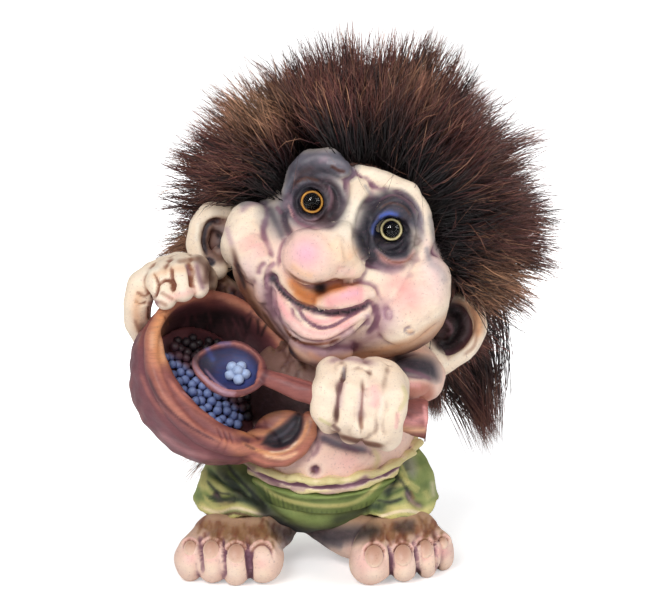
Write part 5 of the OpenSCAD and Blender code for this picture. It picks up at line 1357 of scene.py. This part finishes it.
def iris_finish(name, ring_colour, edge_colour, pupil, outer):
    """A black pupil, a ring of colour with fine spokes and a dark edge, round the eye's own axis."""
    material, tree, shader = new_material(name)
    link = tree.links.new
    way = put(tree, "ShaderNodeUVMap", uv_map="round")
    parts = put(tree, "ShaderNodeSeparateXYZ")
    link(way.outputs["UV"], parts.inputs[0])
    spokes = put(tree, "ShaderNodeTexNoise", Scale=1.0, Detail=2.0)
    stretch = put(tree, "ShaderNodeMapping")
    stretch.inputs["Scale"].default_value = (42, 2.2, 1)
    link(way.outputs["UV"], stretch.inputs["Vector"])
    link(stretch.outputs["Vector"], spokes.inputs["Vector"])
    nudge = put(tree, "ShaderNodeMath", operation="MULTIPLY_ADD")
    nudge.inputs[1].default_value, nudge.inputs[2].default_value = 0.06, -0.03
    link(spokes.outputs["Fac"], nudge.inputs[0])
    reach = put(tree, "ShaderNodeMath", operation="ADD")
    link(parts.outputs["Y"], reach.inputs[0])
    link(nudge.outputs[0], reach.inputs[1])
    ramp = put(tree, "ShaderNodeValToRGB")
    stops = ramp.color_ramp
    stops.elements[0].position, stops.elements[0].color = pupil, (0.0008, 0.0008, 0.001, 1)
    stops.elements[1].position, stops.elements[1].color = pupil + 0.04, (*edge_colour, 1)
    for place, colour in ((pupil + 0.12, ring_colour), (outer - 0.06, ring_colour), (outer, edge_colour), (outer + 0.05, (0.003, 0.003, 0.004))):
        stop = stops.elements.new(place)
        stop.color = (*colour, 1)
    link(reach.outputs[0], ramp.inputs["Fac"])
    link(ramp.outputs["Color"], shader.inputs["Base Color"])
    shader.inputs["Roughness"].default_value = 0.5
    shader.inputs["Specular IOR Level"].default_value = 0.0
    return material


def glass_finish():
    material, tree, shader = new_material("eye_glass_finish")
    place = put(tree, "ShaderNodeTexCoord")
    ripple = put(tree, "ShaderNodeTexNoise", Scale=260.0, Detail=2.0)
    tree.links.new(place.outputs["Object"], ripple.inputs["Vector"])
    bump = put(tree, "ShaderNodeBump", Strength=0.01, Distance=0.0001)
    tree.links.new(ripple.outputs["Fac"], bump.inputs["Height"])
    tree.links.new(bump.outputs["Normal"], shader.inputs["Normal"])
    shader.inputs["Base Color"].default_value = (1, 1, 1, 1)
    shader.inputs["Transmission Weight"].default_value = 1.0
    shader.inputs["Roughness"].default_value = 0.02
    shader.inputs["IOR"].default_value = 1.02
    # light leaves through the flat back without a second gloss
    shader.inputs["Alpha"].default_value = 0.6
    side, clear = put(tree, "ShaderNodeNewGeometry"), put(tree, "ShaderNodeMapRange")
    clear.inputs["To Min"].default_value, clear.inputs["To Max"].default_value = 0.6, 0.0
    tree.links.new(side.outputs["Backfacing"], clear.inputs["Value"])
    tree.links.new(clear.outputs["Result"], shader.inputs["Alpha"])
    shader.inputs["Coat Weight"].default_value = 1.0
    shader.inputs["Coat Roughness"].default_value = 0.03
    return material


EYE_R = 3.5


def make_eye(side, sign, iris, glass):
    middle = skull_point(27.5, 25.5 * sign, -1.2)
    place = Matrix.Translation(middle) @ HEAD_TURN.to_4x4()
    for part in ("glass", "iris"):
        bm = bmesh.new()
        rows = 16 if part == "glass" else 12
        uv = bm.loops.layers.uv.new("round")
        if part == "glass":
            # a dome with a flat back
            line = [(EYE_R * math.sin(math.radians(a)), -EYE_R * math.cos(math.radians(a))) for a in np.linspace(0, 90, rows)] + [(0, 0)]
        else:
            # a shallow dish that holds the painted ring, open to the front
            line = [(0, 0.5), (EYE_R * 0.5, 0.42), (EYE_R * 0.8, 0.15), (EYE_R - 0.3, 0.06), (EYE_R - 0.3, 0.8), (0, 0.8)]
        verts = [bm.verts.new((r, y, 0)) for r, y in line]
        edges = [bm.edges.new(pair) for pair in zip(verts[:-1], verts[1:])]
        bmesh.ops.spin(bm, geom=verts + edges, cent=(0, 0, 0), axis=(0, 1, 0), angle=2 * math.pi, steps=64, use_merge=True)
        bmesh.ops.remove_doubles(bm, verts=bm.verts, dist=0.0005)
        bmesh.ops.recalc_face_normals(bm, faces=bm.faces)
        for face in bm.faces:
            for loop in face.loops:
                x, y, z = loop.vert.co
                loop[uv].uv = (math.atan2(z, x) / 6.2832 + 0.5, math.hypot(x, z) / EYE_R)
        bmesh.ops.transform(bm, matrix=Matrix.Scale(0.001, 4) @ place, verts=bm.verts)
        mesh = bpy.data.meshes.new(f"{side}_{part}")
        bm.to_mesh(mesh)
        bm.free()
        if part == "glass":
            hand_over(f"{side}_eye_dome", mesh, glass, [f"{side}_eye_glass"])
        else:
            hand_over(f"{side}_eye_ring", mesh, iris, [f"{side}_eye_iris"], smooth=False)


# Fur

FUR_AT = np.array([2.2, 4.4, 90.5])
HAIR_TURN = np.array(HEAD_TURN)


def fur_finish(name, root, middle, tip, gold):
    """Root to tip colours with single hairs lighter or darker; the strand attribute carries both."""
    material, tree, shader = new_material(name)
    link = tree.links.new
    strand = put(tree, "ShaderNodeAttribute", attribute_name="strand")
    parts = put(tree, "ShaderNodeSeparateColor")
    link(strand.outputs["Color"], parts.inputs[0])
    shades = []
    for colours in ((root, root, middle, tip), (root, middle, gold, gold)):
        ramp = put(tree, "ShaderNodeValToRGB")
        stops = ramp.color_ramp
        stops.elements[0].position, stops.elements[0].color = 0.06, (*colours[0], 1)
        stops.elements[1].position, stops.elements[1].color = 1.0, (*colours[3], 1)
        for place, colour in ((0.40, colours[1]), (0.76, colours[2])):
            stop = stops.elements.new(place)
            stop.color = (*colour, 1)
        link(parts.outputs["Red"], ramp.inputs["Fac"])
        shades.append(ramp.outputs["Color"])
    golden = put(tree, "ShaderNodeMix", data_type="RGBA")
    link(parts.outputs["Blue"], golden.inputs[0])
    link(shades[0], golden.inputs[6])
    link(shades[1], golden.inputs[7])
    level = put(tree, "ShaderNodeMapRange")
    level.inputs["To Min"].default_value, level.inputs["To Max"].default_value = 0.18, 2.5
    link(parts.outputs["Green"], level.inputs["Value"])
    varied = put(tree, "ShaderNodeMix", data_type="RGBA", blend_type="MULTIPLY")
    varied.inputs[0].default_value = 1.0
    link(golden.outputs[2], varied.inputs[6])
    link(level.outputs["Result"], varied.inputs[7])
    link(varied.outputs[2], shader.inputs["Base Color"])
    shader.inputs["Roughness"].default_value = 0.42
    shader.inputs["Specular IOR Level"].default_value = 0.5
    return material


def strands(name, finish, roots, tips, bows, thick, tone, gold, slot, *replaced, steps=4):
    """Tapered three-sided hairs, each from its root over a bow to its tip, all in one mesh."""
    count = len(roots)
    t = np.linspace(0, 1, steps + 1)[None, :, None]
    middle = (roots + tips)[:, None] / 2 + bows[:, None]
    line = roots[:, None] * (1 - t) ** 2 + 2 * middle * t * (1 - t) + tips[:, None] * t**2
    way = tips - roots
    way /= np.linalg.norm(way, axis=1, keepdims=True)
    side = np.cross(way, np.tile([0.31, -0.2, 0.93], (count, 1)))
    side /= np.linalg.norm(side, axis=1, keepdims=True)
    other = np.cross(way, side)
    turns = np.radians([0, 120, 240])
    spokes = side[:, None] * np.cos(turns)[None, :, None] + other[:, None] * np.sin(turns)[None, :, None]
    girth = (thick[:, None] * (1 - np.linspace(0, 1, steps + 1)[None, :-1]) ** 0.38)[..., None, None]
    tube = line[:, :-1, None] + spokes[:, None] * girth
    verts = np.concatenate([tube.reshape(count, -1, 3), line[:, -1:]], 1)
    each = 3 * steps + 1
    faces = [(0, 2, 1)]
    for k in range(steps - 1):
        for j in range(3):
            a, b = 3 * k + j, 3 * k + (j + 1) % 3
            faces += [(a, b, b + 3), (a, b + 3, a + 3)]
    faces += [(3 * steps - 3 + j, 3 * steps - 3 + (j + 1) % 3, 3 * steps) for j in range(3)]
    faces = (np.array(faces)[None] + (np.arange(count) * each)[:, None, None]).reshape(-1, 3)
    mesh = bpy.data.meshes.new(name)
    mesh.from_pydata((verts.reshape(-1, 3) * 0.001), [], faces)
    along = np.append(np.repeat(np.linspace(0, 1, steps + 1)[:-1], 3), 1.0)
    colours = np.ones((count, each, 4))
    colours[..., 0] = along
    colours[..., 1] = tone[:, None]
    colours[..., 2] = gold[:, None]
    layer = mesh.color_attributes.new("strand", "FLOAT_COLOR", "POINT")
    layer.data.foreach_set("color", colours.ravel())
    return hand_over(name, mesh, finish, replaced)


def scalp(dirs, out):
    """Places over the skull for directions in the head's own frame."""
    dirs = dirs / np.linalg.norm(dirs, axis=1, keepdims=True)
    return (dirs * egg(dirs, SKULL, SKULL_SWELLS, out)[:, None]) @ HAIR_TURN.T + np.array(HEAD_AT)


def tuft_rows():
    """The burst's main tufts: direction from the middle of the wig and how far each stands out."""
    rows = [(-24, -62, 74, 17, 0.86), (2, -98, 114, 13.25, 1), (30, -100, 100, 25, 0.97), (62, -90, 120, 52, 0.86)]
    for lean, first, last, step, share in rows:
        for fan in np.arange(first, last + 0.1, step):
            f, b = math.radians(fan), math.radians(lean)
            yield (math.sin(f) * math.cos(b), math.sin(b), math.cos(f) * math.cos(b)), 56 * share * (1 + 0.05 * math.sin(math.radians(fan * 37)))


def burst(dirs):
    """How far the fur stands from the middle of the wig in each direction: a mass with pointed tufts on it."""
    size, shift = np.array([47.0, 36, 46]), np.array([0, -6.0, 0])
    a, b, c = (dirs**2 / size**2).sum(1), (2 * shift * dirs / size**2).sum(1), (shift**2 / size**2).sum() - 1
    far = (-b + np.sqrt(b * b - 4 * a * c)) / (2 * a)
    for way, reach in tuft_rows():
        turn = np.arccos(np.clip(dirs @ np.array(way), -1, 1))
        slope = np.tan(np.minimum(turn, 1.2))
        end = (7.3 + 0.505 * (reach - 12)) / (slope + 0.505)
        far = np.maximum(far, np.where((end >= reach - 12) & (turn < 0.6), np.minimum(end, reach) / np.cos(turn), 0))
        k = 3.7 / (reach - 38)
        low = (11 + 26 * k) / (slope + k)
        far = np.maximum(far, np.where((low >= 26) & (low <= reach - 12) & (turn < 0.6), low / np.cos(turn), 0))
    return far


FACE_EDGE = [(232, 250), (238, 214), (262, 199), (283, 203), (290, 180), (305, 158), (325, 153), (345, 167), (375, 170), (402, 182), (422, 207),
             (433, 234), (440, 257), (453, 280), (458, 300), (440, 332), (330, 366), (250, 330)]


def within_outline(x, y, outline):
    """Which picture points lie inside a closed outline."""
    a = np.array(outline, float)
    b = np.roll(a, -1, 0)
    inside = np.zeros(len(x), bool)
    for (ax, ay), (bx, by) in zip(a, b):
        inside ^= ((ay > y) != (by > y)) & (x < ax + (y - ay) / (by - ay + 1e-9) * (bx - ax))
    return inside


def make_wig(finish):
    rng = np.random.default_rng(7)
    points = 1750
    k = np.arange(points)
    z = 1 - 2 * (k + 0.5) / points
    a = k * 2.399963
    dirs = np.stack([np.sqrt(1 - z**2) * np.cos(a), np.sqrt(1 - z**2) * np.sin(a), z], 1)
    at = dirs * egg(dirs, SKULL, SKULL_SWELLS, 1.4)[:, None]
    hairline = at[:, 1] * math.cos(math.radians(30)) + at[:, 2] * math.sin(math.radians(30))
    dirs = dirs[(hairline > -8.5) & (at[:, 2] > -16)]
    count = len(dirs)
    world = scalp(dirs, 0.9) - FUR_AT
    fan = np.degrees(np.arctan2(world[:, 0], world[:, 2])) + rng.normal(0, 5, count)
    lean = np.degrees(np.arctan2(world[:, 1], np.hypot(world[:, 0], world[:, 2])))
    lean = np.clip(lean * 0.82 + rng.normal(0, 6, count), -27, 88)
    f, b = np.radians(fan), np.radians(lean)
    way = np.stack([np.sin(f) * np.cos(b), np.sin(b), np.cos(f) * np.cos(b)], 1)
    tips = FUR_AT + way * (burst(way) * rng.uniform(1.0, 1.2, count))[:, None]
    each = 41000 // count
    lock = np.repeat(np.arange(count), each)
    n = len(lock)
    spread = rng.normal(0, 1, (n, 3))
    roots = scalp(dirs[lock] + spread * 0.06, 0.6)
    stray = rng.random(n) < 0.2
    ends = tips[lock] + rng.normal(0, 1, (n, 3)) * np.where(stray, 6.5, 2.1)[:, None] + spread * 0.9
    ends = roots + (ends - roots) * np.where(stray, rng.uniform(0.75, 1.06, n), 1.0 - 0.16 * rng.random(n) ** 1.5)[:, None]
    over = np.linalg.norm((ends - FUR_AT - [0, 3, 0]) / [61, 44.5, 61], axis=1)
    ends = np.where((over > 1)[:, None], FUR_AT + [0, 3, 0] + (ends - FUR_AT - [0, 3, 0]) / over[:, None], ends)
    out = roots - np.array(HEAD_AT)
    bows = rng.normal(0, 2.6, (count, 3))[lock] + rng.normal(0, 2.4, (n, 3)) + [0, 0, 1.4]
    bows += out / np.linalg.norm(out, axis=1, keepdims=True) * 1.5
    keep = np.ones(n, bool)
    for t in (0.0, 0.08, 0.16, 0.28, 0.4, 0.6, 0.8, 1.0):
        at = roots * (1 - t) ** 2 + 2 * ((roots + ends) / 2 + bows) * t * (1 - t) + ends * t**2
        x, y = picture(at).T
        for ear in ((453, 334, 21, 34, 3), (214, 238, 19, 32, 1)):
            keep &= ~((((x - ear[0]) / ear[2]) ** 2 + ((y - ear[1]) / ear[3]) ** 2 < 1) & (at[:, 1] < ear[4]))
        keep &= ~(within_outline(x, y, FACE_EDGE) & (at[:, 1] < 8))
    roots, ends, bows, lock, stray = roots[keep], ends[keep], bows[keep], lock[keep], stray[keep]
    n = len(roots)
    tone = np.clip(rng.normal(0.36, 0.22, count)[lock] + rng.normal(0, 0.2, n), 0, 1)
    seen = picture(ends)
    gold = np.zeros(n)
    for x, y, wide, high, load in ((505, 292, 60, 26, 0.95), (240, 95, 40, 30, 0.85), (165, 252, 40, 18, 0.85), (430, 60, 40, 26, 0.3)):
        gold = np.maximum(gold, load * np.exp(-((seen[:, 0] - x) / wide) ** 2 - ((seen[:, 1] - y) / high) ** 2))
    gold = np.clip(gold + rng.normal(0, 0.12, n) + (rng.random(n) < 0.07) * 0.6, 0, 1)
    thick = rng.uniform(0.11, 0.18, n)
    order = np.argsort(np.arctan2(ends[:, 0] - FUR_AT[0], ends[:, 2] - FUR_AT[2]), kind="stable")
    share = 8600
    for part, first in enumerate(range(0, n, share)):
        pick = order[first:first + share]
        strands(f"wig_hair_{part + 1}", finish, roots[pick], ends[pick], bows[pick], thick[pick], tone[pick], gold[pick],
                "dark_fur", "wig_fur")


def make_mane(finish):
    rng = np.random.default_rng(8)
    tips = [(-34, 18), (-20, 13), (-5, 10), (11, 12), (23, 27), (39.5, 20)]
    rows = []
    for x, z in tips:
        for _ in range(34):
            top = np.array([x * rng.uniform(0.35, 0.95) + rng.normal(0, 2), rng.uniform(16, 24), rng.uniform(54, 74)])
            end = np.array([x + rng.normal(0.8, 1.9), rng.uniform(22, 31), z + rng.uniform(0, 11) + abs(rng.normal(0, 3))])
            rows.append((top, end))
    n = 4600
    lock = rng.integers(0, len(rows), n)
    tops, ends = np.array([r[0] for r in rows]), np.array([r[1] for r in rows])
    roots = tops[lock] + rng.normal(0, 1.7, (n, 3))
    hair_tips = ends[lock] + rng.normal(0, 1.0, (n, 3)) * np.where(rng.random(n) < 0.15, 2.6, 1.0)[:, None]
    roots[:, 1] = np.clip(roots[:, 1], 15.5, 30)
    hair_tips[:, 1] = np.clip(hair_tips[:, 1], 21, 33)
    hair_tips[:, 2] = np.maximum(hair_tips[:, 2], 9)
    bows = rng.normal(0, 1.0, (len(rows), 3))[lock] + rng.normal(0, 0.8, (n, 3)) + [0, 2.0, 0]
    bows[:, 0] += hair_tips[:, 0] * 0.07
    tone = np.clip(rng.normal(0.45, 0.2, n), 0, 1)
    gold = np.clip(rng.normal(0.05, 0.15, n) + np.clip((-hair_tips[:, 0] - 22) / 20, 0, 0.7), 0, 1)
    strands("mane_hair", finish, roots, hair_tips, bows, rng.uniform(0.10, 0.16, n), tone, gold, "mane_fur", "back_mane")


def make_side_tufts(finish):
    """A brown tuft from behind the right ear and thin wisps beside the trousers and the sleeve."""
    rng = np.random.default_rng(12)
    rows = []
    for start, first, last, count, depth, loose in (
            ((214, 236), (150, 262), (176, 240), 300, 5, 3.0), ((216, 452), (166, 458), (186, 492), 46, 20, 5.0), ((214, 446), (176, 440), (196, 470), 40, 16, 5.0)):
        for _ in range(count):
            t = rng.random()
            tip = [first[i] + (last[i] - first[i]) * t + rng.normal(0, loose) for i in (0, 1)]
            tip[0] = max(tip[0], 130)
            root = [start[i] + rng.normal(0, 4) for i in (0, 1)]
            share = rng.uniform(0.7, 1.0)
            tip = [root[i] + (tip[i] - root[i]) * share for i in (0, 1)]
            rows.append((sight(*root, depth + rng.normal(0, 1.5)), sight(*tip, depth - 1 + rng.normal(0, 2.5))))
    n = len(rows)
    roots, tips = np.array([r[0] for r in rows]), np.array([r[1] for r in rows])
    strands("side_tufts", finish, roots, tips, rng.normal(0, 1.2, (n, 3)) + [0, 0, 1.2], np.where(np.arange(n) < 300, 0.12, 0.07),
            np.clip(rng.normal(0.5, 0.2, n), 0, 1), np.clip(rng.normal(0.6, 0.2, n), 0, 1), "mane_fur")


def make_stray_hairs(finish):
    """A few pale hairs that cross the brow."""
    rng = np.random.default_rng(9)
    lines = [((352, 158), (372, 200)), ((344, 150), (362, 184)), ((388, 190), (398, 150)), ((404, 168), (378, 196)), ((452, 200), (430, 245)),
             ((420, 180), (424, 236)), ((470, 220), (446, 262)), ((300, 150), (292, 196)), ((440, 262), (470, 300)), ((436, 250), (480, 196)),
             ((372, 150), (410, 176)), ((396, 150), (440, 196)), ((318, 140), (338, 168)), ((448, 232), (486, 262))]
    roots = np.array([sight(*a, -26) for a, b in lines])
    tips = np.array([sight(*b, -29) for a, b in lines])
    n = len(lines)
    strands("brow_hairs", finish, roots, tips, rng.normal(0, 1.2, (n, 3)), np.full(n, 0.055), np.full(n, 0.75), np.full(n, 0.25), "dark_fur")


set_camera()
skin_finish = painted_finish("painted_skin_finish", "plum", cloud=0.3, speck=0.45, rough=0.46, relief=0.22, coat=0.08, streaks=0.08,
                             streak_colour="mauve", stretch=(420, 420, 900), turn=(10, 25, 0))
wood_finish = painted_finish("painted_wood_finish", "wine", cloud=0.3, speck=0.25, rough=0.42, relief=0.14, coat=0.1, streaks=0.22,
                             streak_colour="wine", stretch=(260, 260, 1500), turn=(0, -56, 48))
spoon_finish = painted_finish("painted_spoon_finish", "wine", cloud=0.3, speck=0.25, rough=0.42, relief=0.14, coat=0.1, streaks=0.25,
                              streak_colour="wine", stretch=(220, 900, 1300), turn=(0, -20, 0))
cloth_finish = painted_finish("painted_cloth_finish", "pine", cloud=0.4, speck=0.45, rough=0.55, relief=0.14)
frill_finish = painted_finish("painted_frill_finish", "plum", cloud=0.25, speck=0.35, rough=0.5, relief=0.12)
berry_finish = painted_finish("berry_finish", "navy", cloud=0.4, speck=0.4, rough=0.4, relief=0.2, coat=0.15, cloud_scale=700.0, speck_scale=2600.0)
nail_finish = painted_finish("painted_nail_finish", "umber", cloud=0.2, speck=0.3, rough=0.35, relief=0.06, coat=0.2)
tongue_finish = painted_finish("painted_tongue_finish", "plum", cloud=0.2, speck=0.2, rough=0.35, relief=0.08, coat=0.25)
make_head(skin_finish)
make_ears(skin_finish)
make_torso(skin_finish)
make_right_arm(skin_finish)
make_left_arm(skin_finish)
make_tongue(tongue_finish)
make_bowl(wood_finish)
make_bowl_berries(wood_finish, berry_finish)
make_spoon(spoon_finish)
make_spoon_berries(berry_finish)
make_frill(frill_finish)
make_waistband(cloth_finish)
make_trousers(cloth_finish)
make_feet(skin_finish, nail_finish)
glass = glass_finish()
make_eye("right", -1, iris_finish("amber_ring", (0.85, 0.46, 0.10), (0.26, 0.10, 0.02), 0.66, 0.84), glass)
make_eye("left", 1, iris_finish("pale_ring", (0.76, 0.68, 0.38), (0.18, 0.14, 0.05), 0.62, 0.83), glass)
fur = fur_finish("dark_fur_finish", (0.005, 0.003, 0.004), (0.07, 0.019, 0.019), (0.23, 0.082, 0.062), (0.42, 0.22, 0.12))
hide_finish = plain_finish("hide_finish", "black", "cocoa", 700.0, 0.9, 0.4)
make_wig(fur)
make_mane(fur)
make_side_tufts(fur)
make_stray_hairs(fur)
plain = {
    "wig_backing": hide_finish, "foam_core": plain_finish("foam_finish", "straw", "cream", 900.0, 0.9, 0.5),
    "base_plug": plain_finish("plug_finish", "umber", "fibre", 500.0, 0.7, 0.3),
    "left_eye_wire": plain_finish("wire_finish", "slate", "ash", 900.0, 0.35, 0.1, 1.0)}
plain["right_eye_wire"] = plain["left_eye_wire"]
for name, finish in plain.items():
    for place in nodes[name].material_slots:
        place.material = finish


# Floor and light

def add_lamp(name, place, size, power, aim=(-0.005, 0, 0.075)):
    lamp = bpy.data.lights.new(name, "AREA")
    lamp.size, lamp.energy = size, power
    obj = bpy.data.objects.new(name, lamp)
    bpy.context.scene.collection.objects.link(obj)
    obj.location = place
    obj.rotation_euler = (Vector(aim) - Vector(place)).to_track_quat("-Z", "Y").to_euler()


def seen_white(tree):
    """1 where the camera looks and 0 where only light arrives."""
    return put(tree, "ShaderNodeLightPath").outputs["Is Camera Ray"]


def make_stage():
    bm = bmesh.new()
    bmesh.ops.create_grid(bm, x_segments=1, y_segments=1, size=4)
    mesh = bpy.data.meshes.new("floor")
    bm.to_mesh(mesh)
    bm.free()
    floor = bpy.data.objects.new("floor", mesh)
    bpy.context.scene.collection.objects.link(floor)
    material, tree, shader = new_material("white_floor")
    shader.inputs["Base Color"].default_value = (0.92, 0.92, 0.93, 1)
    shader.inputs["Roughness"].default_value = 0.9
    shader.inputs["Specular IOR Level"].default_value = 0.1
    shader.inputs["Emission Color"].default_value = (1, 1, 1, 1)
    glow = put(tree, "ShaderNodeMath", operation="MULTIPLY")
    place, far = put(tree, "ShaderNodeTexCoord"), put(tree, "ShaderNodeVectorMath", operation="LENGTH")
    rise = put(tree, "ShaderNodeMapRange")
    for label, value in (("From Min", 0.06), ("From Max", 0.35), ("To Min", 0.4), ("To Max", 1.1)):
        rise.inputs[label].default_value = value
    tree.links.new(place.outputs["Object"], far.inputs[0])
    tree.links.new(far.outputs["Value"], rise.inputs["Value"])
    tree.links.new(rise.outputs["Result"], glow.inputs[1])
    tree.links.new(seen_white(tree), glow.inputs[0])
    tree.links.new(glow.outputs[0], shader.inputs["Emission Strength"])
    mesh.materials.append(material)
    world = bpy.data.worlds.new("studio")
    world.use_nodes = True
    bpy.context.scene.world = world
    tree = world.node_tree
    sky = tree.nodes["Background"]
    sky.inputs["Color"].default_value = (1, 1, 1, 1)
    level = put(tree, "ShaderNodeMapRange")
    level.inputs["To Min"].default_value, level.inputs["To Max"].default_value = 0.38, 1.0
    tree.links.new(seen_white(tree), level.inputs["Value"])
    # a look through the eyes' glass meets no bright sky, so the pupils stay black
    path, clear = put(tree, "ShaderNodeLightPath"), put(tree, "ShaderNodeMath", operation="SUBTRACT")
    clear.inputs[0].default_value = 1.0
    tree.links.new(path.outputs["Is Transmission Ray"], clear.inputs[1])
    dimmed = put(tree, "ShaderNodeMath", operation="MULTIPLY")
    tree.links.new(level.outputs["Result"], dimmed.inputs[0])
    tree.links.new(clear.outputs[0], dimmed.inputs[1])
    tree.links.new(dimmed.outputs[0], sky.inputs["Strength"])
    add_lamp("front_soft", (-0.35, -0.9, 0.75), 0.5, 6.8)
    add_lamp("eye_glint", (-0.16, -0.75, 0.42), 0.14, 0.9, (-0.005, -0.03, 0.095))
    add_lamp("right_soft", (0.7, -0.5, 0.45), 0.5, 2.2)
    add_lamp("back_soft", (0.1, 0.7, 0.6), 0.5, 2.4)
    bpy.context.scene.view_settings.view_transform = "Standard"


make_stage()
